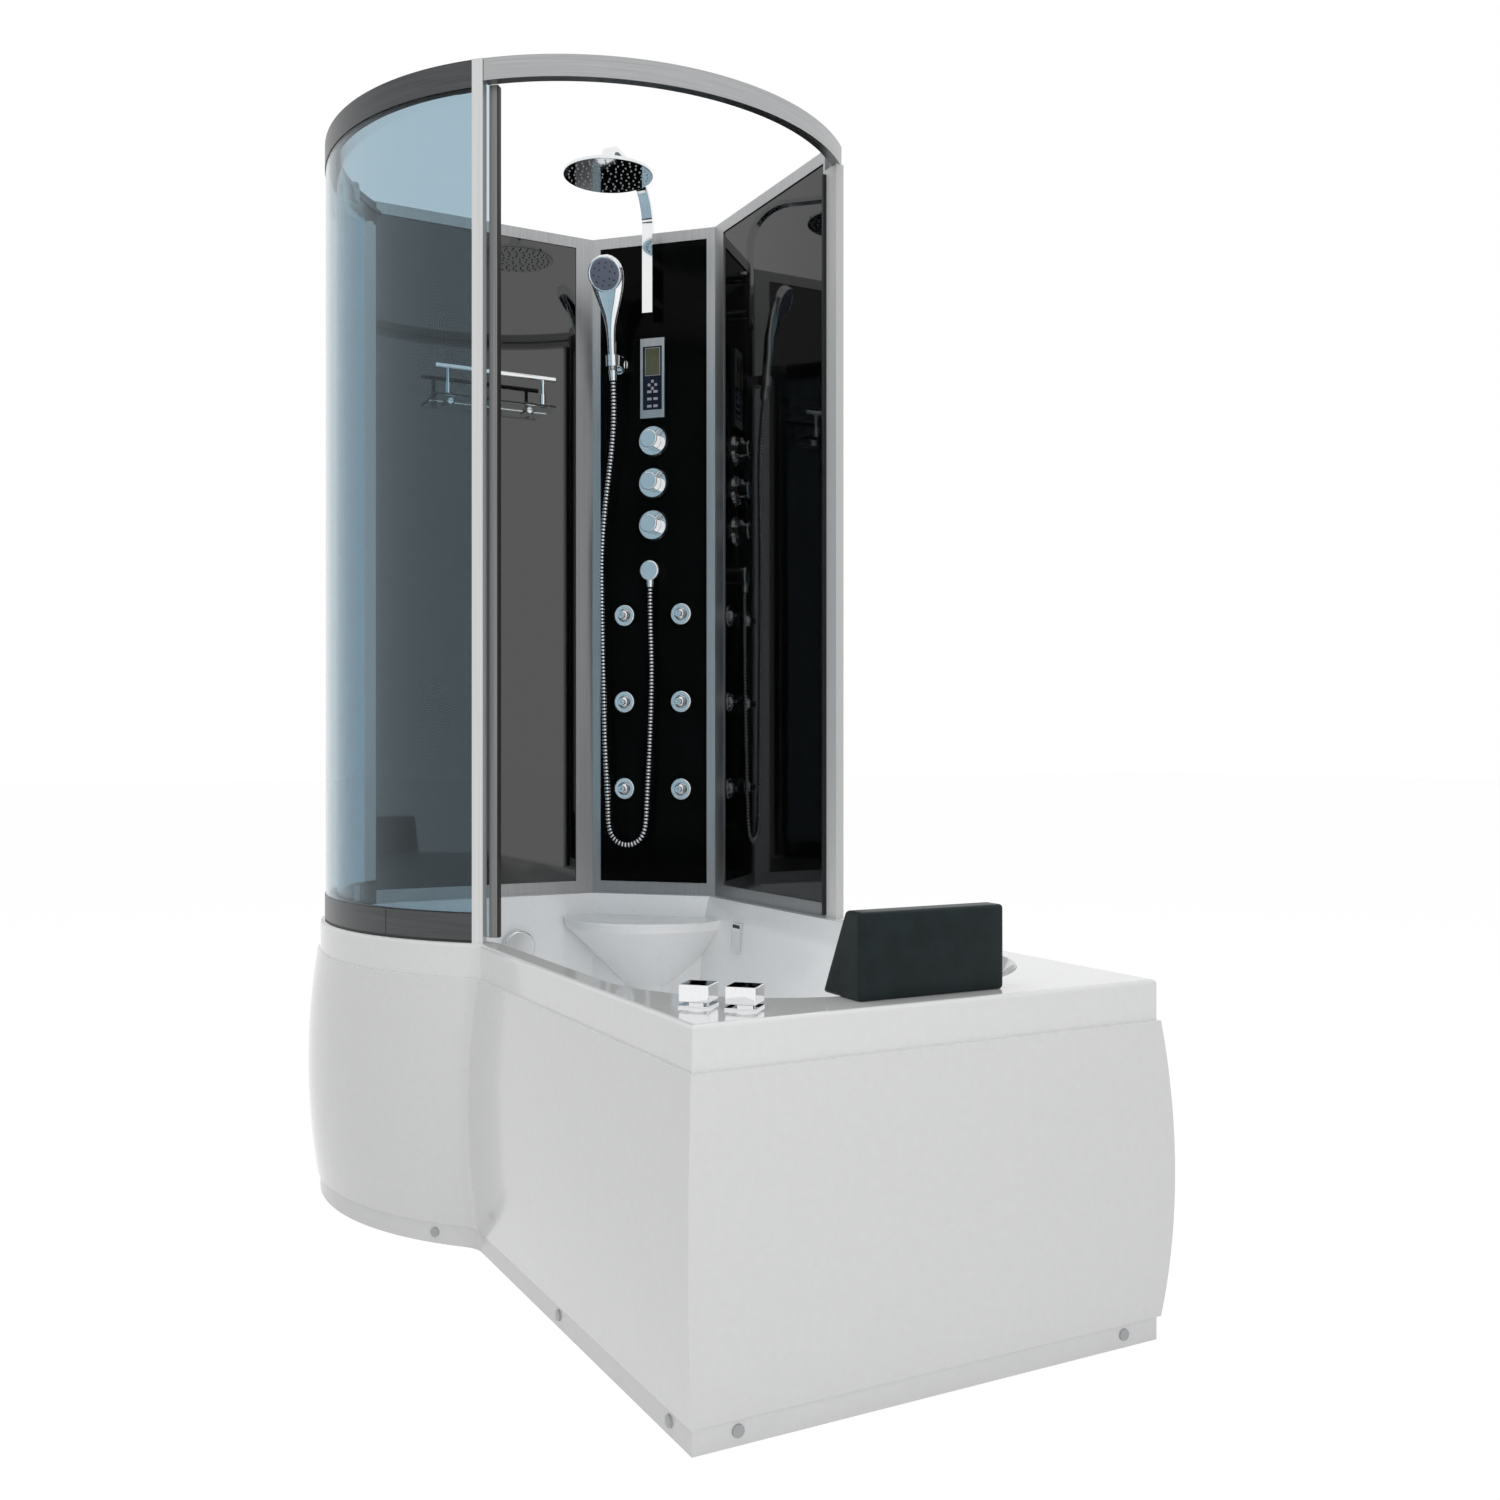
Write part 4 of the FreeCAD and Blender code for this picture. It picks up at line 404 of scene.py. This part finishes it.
def smooth_line(points, name):
    """The points of the smooth curve that a route's points steer."""
    curve = bpy.data.curves.new(name, "CURVE")
    curve.dimensions = "3D"
    spline = curve.splines.new("NURBS")
    spline.points.add(len(points) - 1)
    for place, point in zip(spline.points, points):
        place.co = (*point, 1)
    spline.order_u = CURVE_ORDER
    spline.use_endpoint_u = True
    spline.resolution_u = CURVE_STEPS
    obj = bpy.data.objects.new(name, curve)
    bpy.context.scene.collection.objects.link(obj)
    bpy.context.view_layer.update()
    mesh = bpy.data.meshes.new_from_object(obj)
    line = [vert.co.copy() for vert in mesh.vertices]
    bpy.data.meshes.remove(mesh)
    bpy.data.objects.remove(obj)
    bpy.data.curves.remove(curve)
    return line


def along(line, distances):
    """Places and directions at distances along a line."""
    found = []
    past, n = 0.0, 0
    for distance in distances:
        while n < len(line) - 2 and distance > past + (line[n + 1] - line[n]).length:
            past += (line[n + 1] - line[n]).length
            n += 1
        step = line[n + 1] - line[n]
        found.append((line[n] + step.normalized() * (distance - past), step.normalized()))
    return found


def add_hose():
    """The ribbed metal hose, from the hand shower's nut to the wall elbow."""
    line = smooth_line([on_column(*point) for point in HOSE_ROUTE], "hose_line")
    length = sum((b - a).length for a, b in zip(line, line[1:]))
    crest, valley, plain, ribs, sides = 0.007, 0.004, 0.002, 214, 14
    pitch = (length - 2 * plain) / ribs
    distances, sizes = [0.0], [valley]
    for n in range(ribs):
        for share, size in ((0.14, valley), (0.24, crest), (0.68, crest), (0.78, valley)):
            distances.append(plain + pitch * (n + share))
            sizes.append(size)
    distances.append(length)
    sizes.append(valley)
    places = along(line, distances)
    rings = [(place, way, size, size) for (place, way), size in zip(places, sizes)]
    skin = sleeve(rings, sides, column_way(0, 1, 0))
    # The crest mark steers the painted shade in the hose's grooves.
    mark = skin.verts.layers.float.new("crest")
    for n, vert in enumerate(skin.verts):
        vert[mark] = (sizes[n // sides] - valley) / (crest - valley)
    hose = add_piece("ribbed_hose", skin, "hose_chrome", SHELL)
    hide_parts("shower_hose")


# Headrest: where its top begins, the height of its crown, its rounding and how fine it is cut
REST_TOP_SHARE, REST_CROWN, REST_ROUND = 0.60, 0.004, 0.006
REST_ROUND_STEPS, REST_CUTS, REST_LONG_EDGE = 4, 9, 0.02


def add_headrest():
    """A firm foam wedge with crowned faces and softly rounded edges."""
    low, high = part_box("headrest")
    shape = bmesh.new()
    bmesh.ops.create_cube(shape, size=1.0)
    top_inner = low[0] + (high[0] - low[0]) * REST_TOP_SHARE
    for vert in shape.verts:
        upper = vert.co.z > 0
        front = vert.co.x > 0
        inner = top_inner if upper else low[0] + REST_CROWN
        x = high[0] - REST_CROWN if front else inner
        y = high[1] - REST_CROWN if vert.co.y > 0 else low[1] + REST_CROWN
        vert.co = Vector((x, y, high[2] - REST_CROWN if upper else low[2]))
    bmesh.ops.bevel(shape, geom=shape.edges[:], offset=REST_ROUND, segments=REST_ROUND_STEPS,
                    profile=0.5, affect="EDGES", material=-1)
    long_edges = [edge for edge in shape.edges if edge.calc_length() > REST_LONG_EDGE]
    bmesh.ops.subdivide_edges(shape, edges=long_edges, cuts=REST_CUTS, use_grid_fill=True)
    middle = (Vector(low) + Vector(high)) / 2
    half = (Vector(high) - Vector(low)) / 2
    shape.normal_update()
    moves = []
    for vert in shape.verts:
        away = vert.co - middle
        along_y = max(0.0, 1 - (away.y / half.y) ** 2)
        swell = along_y * max(0.0, 1 - (away.z / half.z) ** 2)
        moves.append((vert, Vector((vert.normal.x, 0, 0)) * REST_CROWN * swell))
    for vert, move in moves:
        vert.co += move
    rest = add_piece("headrest_pad", shape, "headrest_foam", SHELL)
    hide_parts("headrest")


PEG_TIP_SHARE = 0.8


def dots(places, way, radius, height, sides=12):
    """Short pegs of one size that stand on places and point one way."""
    shape = bmesh.new()
    steady = column_way(1, 0, 0)
    for place in places:
        frame_at = ring_frame(place + way * (height / 2), way, steady)
        bmesh.ops.create_cone(shape, cap_ends=True, segments=sides, radius1=radius,
                              radius2=radius * PEG_TIP_SHARE, depth=height, matrix=frame_at)
    return shape


def blocks(spans, out, thick):
    """Flat plates on the column; each span is left, right, low and high."""
    shape = bmesh.new()
    for left, right, low, high in spans:
        middle = column_matrix((left + right) / 2, out + thick / 2, (low + high) / 2)
        size = Matrix.Diagonal((right - left, thick, high - low, 1))
        bmesh.ops.create_cube(shape, size=1.0, matrix=middle @ size)
    return shape


def round_places(middle, side, rise, radius, count, turn=0.0):
    """Even places on a circle."""
    places = []
    for n in range(count):
        angle = turn + 2 * math.pi * n / count
        places.append(middle + side * radius * math.cos(angle) + rise * radius * math.sin(angle))
    return places


# Hand shower: lengths in metres, and tables of rings in millimetres
HAND_TILT, HEAD_PITCH = math.radians(5.7), math.radians(24)
NUT_LENGTH, HANDLE_LENGTH, HEAD_LIFT = 0.024, 0.134, 0.092
HANDLE_FOOT, HANDLE_GROWTH = 0.0095, 0.0033
# Share of the handle's length, and half the handle's width there
HANDLE_RINGS = ((0.25, 10.3), (0.5, 11.2), (0.64, 12), (0.76, 13.8), (0.88, 17), (0.97, 20.2))
# Up the head, back from its face, half its width and half its depth
HEAD_RINGS = (
    (8, 1, 24, 12.6), (22, 3, 28.2, 12.4), (36, 5.5, 32.6, 12.6), (50, 7.5, 37, 12.8),
    (62, 8.6, 40, 13), (74, 9, 42.3, 13), (84, 9, 43.6, 13), (92, 9, 44, 13),
    (101, 9, 43.1, 13), (110, 9, 40.1, 12.8), (118, 9, 35.5, 12.2), (125, 9, 29, 11.2),
    (131, 9, 20, 9.5), (135, 9, 9.5, 6),
)
HEAD_BEND = 30
# Distance out of the head's middle and radius
BEZEL_RINGS = ((-6, 42.5), (2, 42.6), (4.2, 41.8), (5.4, 40), (5.6, 38.2), (4.6, 37))
PLATE_RINGS = ((4.4, 36.8), (5.2, 36.4), (5.6, 34))
SPRAY_FACE = 0.0056
# Radius of a ring of holes, how many it has and its turn
HOLE_RINGS = ((0.027, 10, 0.0), (0.0155, 6, 0.3))
HOLE_RADIUS, HOLE_HEIGHT = 0.0021, 0.0005
HANDLE_SIDES, BEZEL_SIDES = 36, 48


def round_rings(middle, way, table):
    """Round rings along a way, from a table of steps and radii in millimetres."""
    rings = []
    for step, radius in table:
        rings.append((middle + way * step / 1000, way, radius / 1000, radius / 1000))
    return rings


def add_hand_shower():
    """A drop-shaped hand shower with a spray plate that looks down and out."""
    axis = column_way(0, math.sin(HAND_TILT), math.cos(HAND_TILT))
    look = column_way(0, math.cos(HEAD_PITCH), -math.sin(HEAD_PITCH))
    rise = column_way(0, math.sin(HEAD_PITCH), math.cos(HEAD_PITCH))
    side = column_way(1, 0, 0)
    grip = on_column(*HOSE_ROUTE[0]) + axis * NUT_LENGTH
    neck = grip + axis * HANDLE_LENGTH
    rings = [(grip, axis, HANDLE_FOOT, HANDLE_FOOT)]
    for share, wide in HANDLE_RINGS:
        place = grip + axis * HANDLE_LENGTH * share
        rings.append((place, axis, wide / 1000, HANDLE_FOOT + HANDLE_GROWTH * share))
    for up, back, wide, deep in HEAD_RINGS:
        way = (axis * max(0, HEAD_BEND - up) + rise * min(HEAD_BEND, up)).normalized()
        place = neck + rise * up / 1000 - look * back / 1000
        rings.append((place, way, wide / 1000, deep / 1000))
    skin = sleeve(rings, HANDLE_SIDES, side)
    shell = add_piece("hand_shower_shell", skin, "chrome", "hand_set")
    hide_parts("hand_shower")
    head = neck + rise * HEAD_LIFT
    bezel = sleeve(round_rings(head, look, BEZEL_RINGS), BEZEL_SIDES, side)
    add_piece("spray_bezel", bezel, "chrome", "hand_set")
    plate = sleeve(round_rings(head, look, PLATE_RINGS), BEZEL_SIDES, side)
    add_piece("spray_plate", plate, "spray_plastic", "hand_set")
    # Dark pegs on the plate are painted shade of the spray holes.
    face = head + look * SPRAY_FACE
    holes = []
    for radius, count, turn in HOLE_RINGS:
        holes += round_places(face, side, rise, radius, count, turn)
    pegs = dots(holes, look, HOLE_RADIUS, HOLE_HEIGHT)
    add_piece("spray_holes", pegs, "hole_shade", "hand_set")


# Underside of the rain head: across the column, out of it and up
RAIN_FACE = (0, 0.285, 2.1815)
NOZZLE_RINGS = (0.016, 0.031, 0.046, 0.061, 0.075, 0.088)
NOZZLE_COUNT, NOZZLE_TURN = 5, 0.2
NOZZLE_RADIUS, NOZZLE_HEIGHT, NOZZLE_SIDES = 0.0022, 0.0016, 10


def add_rain_nozzles():
    """Rings of rubber nozzles under the rain head."""
    middle = on_column(*RAIN_FACE)
    side, rise = Vector((1, 0, 0)), Vector((0, 1, 0))
    places = []
    for n, radius in enumerate(NOZZLE_RINGS):
        count = NOZZLE_COUNT + NOZZLE_COUNT * n
        places += round_places(middle, side, rise, radius, count, NOZZLE_TURN * n)
    pegs = dots(places, Vector((0, 0, -1)), NOZZLE_RADIUS, NOZZLE_HEIGHT, NOZZLE_SIDES)
    add_piece("rain_nozzles", pegs, "nozzle_rubber", "rain_shower")


# Prints on the control panel
KEY_ROWS, KEY_TOP_ROW, KEY_ROW_STEP = 3, 1.7627, 0.0174
KEY_COLUMN, KEY_HALF_WIDTH, KEY_HEIGHT = 0.008, 0.0055, 0.006
KEY_FACE, PRINT_THICK = 0.004, 0.0003
CROSS_MIDDLE, CROSS_REACH, CROSS_KEY_RADIUS, CROSS_KEY_SIDES = 1.7823, 0.0086, 0.0038, 20
SCREEN_HALF_WIDTH, SCREEN_LOW, SCREEN_HIGH = 0.018, 1.806, 1.871
SCREEN_LINE, SCREEN_FACE, SCREEN_LINE_THICK = 0.0014, 0.003, 0.0006


def add_key_print():
    """Light prints on the raised keys and the line round the screen."""
    keys = []
    for n in range(KEY_ROWS):
        low = KEY_TOP_ROW - KEY_ROW_STEP * n
        for across in (-KEY_COLUMN, KEY_COLUMN):
            keys.append((across - KEY_HALF_WIDTH, across + KEY_HALF_WIDTH, low, low + KEY_HEIGHT))
    shape = blocks(keys, KEY_FACE, PRINT_THICK)
    middle = on_column(0, KEY_FACE, CROSS_MIDDLE)
    up = Vector((0, 0, 1))
    out = column_way(0, 1, 0)
    for place in round_places(middle, column_way(1, 0, 0), up, CROSS_REACH, 4):
        frame_at = ring_frame(place + out * (PRINT_THICK / 2), out, up)
        bmesh.ops.create_cone(shape, cap_ends=True, segments=CROSS_KEY_SIDES, radius1=CROSS_KEY_RADIUS,
                              radius2=CROSS_KEY_RADIUS, depth=PRINT_THICK, matrix=frame_at)
    add_piece("key_tops", shape, "key_print", SHELL, smooth=False)
    wide, low, high, line = SCREEN_HALF_WIDTH, SCREEN_LOW, SCREEN_HIGH, SCREEN_LINE
    frame_lines = [(-wide - line, -wide, low - line, high + line)]
    frame_lines.append((wide, wide + line, low - line, high + line))
    frame_lines.append((-wide, wide, low - line, low))
    frame_lines.append((-wide, wide, high, high + line))
    outline = blocks(frame_lines, SCREEN_FACE, SCREEN_LINE_THICK)
    add_piece("screen_outline", outline, "key_print", SHELL, smooth=False)


def round_strip(radius, start, sweep, low, high, thick):
    """An upright strip on the round front, from an angle on, in degrees."""
    shape = bmesh.new()
    angle = math.radians(start + sweep / 2)
    spot = Vector((radius * math.cos(angle), radius * math.sin(angle), (low + high) / 2))
    size = Matrix.Diagonal((thick, radius * math.radians(sweep), high - low, 1))
    place = Matrix.Translation(CABIN + spot) @ Matrix.Rotation(angle, 4, "Z")
    bmesh.ops.create_cube(shape, size=1.0, matrix=place @ size)
    return shape


# Radius, sweep in degrees and thickness of the two strips
SEAL_RADIUS, SEAL_SWEEP, SEAL_THICK = 0.5275, 0.14, 0.014
RAIL_LINE_RADIUS, RAIL_LINE_SWEEP, RAIL_LINE_THICK = 0.5561, 0.16, 0.0004


def add_front_lines():
    """The black edge of the door and the joint in the lower rail."""
    low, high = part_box("door_stile")
    strip = round_strip(SEAL_RADIUS, EDGE_ANGLE, SEAL_SWEEP, low[2], high[2], SEAL_THICK)
    add_piece("door_edge_seal", strip, "seal_rubber", "sliding_door", smooth=False)
    low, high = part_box("bottom_rail")
    line = round_strip(RAIL_LINE_RADIUS, JOINT_ANGLE, RAIL_LINE_SWEEP, low[2], high[2], RAIL_LINE_THICK)
    add_piece("rail_joint", line, "seal_rubber", SHELL, smooth=False)


# Painted shade in the filler's slot, a dark box: behind its front, under its top, less than its width,
# deep and high
MOUTH_BACK, MOUTH_DROP, MOUTH_MARGIN, MOUTH_DEPTH, MOUTH_HEIGHT = 0.0045, 0.007, 0.0066, 0.004, 0.0074


def add_spout_mouth():
    """A dark box as painted shade in the filler's slot."""
    low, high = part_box("bath_spout")
    shape = bmesh.new()
    spot = ((low[0] + high[0]) / 2, low[1] + MOUTH_BACK, high[2] - MOUTH_DROP)
    size = Matrix.Diagonal((high[0] - low[0] - MOUTH_MARGIN, MOUTH_DEPTH, MOUTH_HEIGHT, 1))
    bmesh.ops.create_cube(shape, size=1.0, matrix=Matrix.Translation(spot) @ size)
    add_piece("spout_mouth_shade", shape, "hole_shade", SHELL, smooth=False)


# ---- studio

WHITE = (1, 1, 1, 1)
SKY_LEVEL, SEEN_SKY_LEVEL = 0.42, 1.0
FLOOR_SIZE, FLOOR_TONE, FLOOR_ROUGH = 40.0, 0.9, 0.9
FLOOR_GLOW, FLOOR_GLOW_SHARE = 1.14, 0.8
CAMERA_PLACE, CAMERA_LOOK = (2.4894, -1.0998, 0.8971), (-0.8811, 0.4729, 0)
SENSOR, LENS, VIEW_DEPTH = 36, 34.97, 200
# Each light's place, what it points at, its width, height and power
LIGHTS = {
    "top_softbox": ((0.4, -0.4, 4.6), (0, 0, 0.6), 3.5, 3.5, 60),
    "front_softbox": ((4.2, -1.2, 1.8), (0, 0, 0.6), 2.5, 2.5, 36),
    "basin_softbox": ((0.16, -0.02, 0.40), (-0.55, 0.2, 0.36), 0.5, 0.2, 0.9),
}


def build_studio():
    """An even white sky that is seen brighter than it lights."""
    scene = bpy.context.scene
    scene.view_settings.view_transform = "Standard"
    world = bpy.data.worlds.new("studio")
    scene.world = world
    world.use_nodes = True
    tree = world.node_tree
    sky = tree.nodes["Background"]
    seen = tree.nodes.new("ShaderNodeBackground")
    for node, level in ((sky, SKY_LEVEL), (seen, SEEN_SKY_LEVEL)):
        node.inputs["Color"].default_value = WHITE
        node.inputs["Strength"].default_value = level
    first, second = sky.outputs["Background"], seen.outputs["Background"]
    mix_surface(tree, seen_directly(tree), first, second, "World Output")


def add_floor():
    """A pale floor that fades to white and keeps the object's shadow."""
    shape = bmesh.new()
    bmesh.ops.create_grid(shape, x_segments=1, y_segments=1, size=FLOOR_SIZE)
    mesh = bpy.data.meshes.new("studio_floor")
    shape.to_mesh(mesh)
    shape.free()
    floor = bpy.data.objects.new("studio_floor", mesh)
    bpy.context.scene.collection.objects.link(floor)
    material = bpy.data.materials.new("studio_floor")
    material.use_nodes = True
    tree = material.node_tree
    shader = tree.nodes["Principled BSDF"]
    shader.inputs["Base Color"].default_value = (FLOOR_TONE, FLOOR_TONE, FLOOR_TONE, 1)
    shader.inputs["Roughness"].default_value = FLOOR_ROUGH
    shader.inputs["Specular IOR Level"].default_value = 0.0
    glow = tree.nodes.new("ShaderNodeEmission")
    glow.inputs["Strength"].default_value = FLOOR_GLOW
    share = maths(tree, "MULTIPLY", seen_directly(tree), FLOOR_GLOW_SHARE)
    first, second = shader.outputs["BSDF"], glow.outputs["Emission"]
    mix_surface(tree, share, first, second, "Material Output")
    mesh.materials.append(material)


def add_light(name, place, target, width, height, power):
    """A soft light that isn't seen itself."""
    data = bpy.data.lights.new(name, "AREA")
    data.shape = "RECTANGLE"
    data.size = width
    data.size_y = height
    data.energy = power
    lamp = bpy.data.objects.new(name, data)
    lamp.location = place
    lamp.visible_camera = False
    lamp.visible_glossy = False
    lamp.visible_transmission = False
    look = Vector(target) - Vector(place)
    lamp.rotation_euler = look.to_track_quat("-Z", "Y").to_euler()
    bpy.context.scene.collection.objects.link(lamp)


def add_camera():
    """The photo's point of view."""
    data = bpy.data.cameras.new("camera")
    data.sensor_width = SENSOR
    data.sensor_fit = "HORIZONTAL"
    data.lens = LENS
    data.clip_end = VIEW_DEPTH
    camera = bpy.data.objects.new("camera", data)
    camera.location = CAMERA_PLACE
    camera.rotation_euler = Vector(CAMERA_LOOK).to_track_quat("-Z", "Y").to_euler()
    bpy.context.scene.collection.objects.link(camera)
    bpy.context.scene.camera = camera


dress_nodes()
add_hose()
add_headrest()
add_hand_shower()
add_rain_nozzles()
add_key_print()
add_front_lines()
add_spout_mouth()
build_studio()
add_floor()
for name, setting in LIGHTS.items():
    add_light(name, *setting)
add_camera()
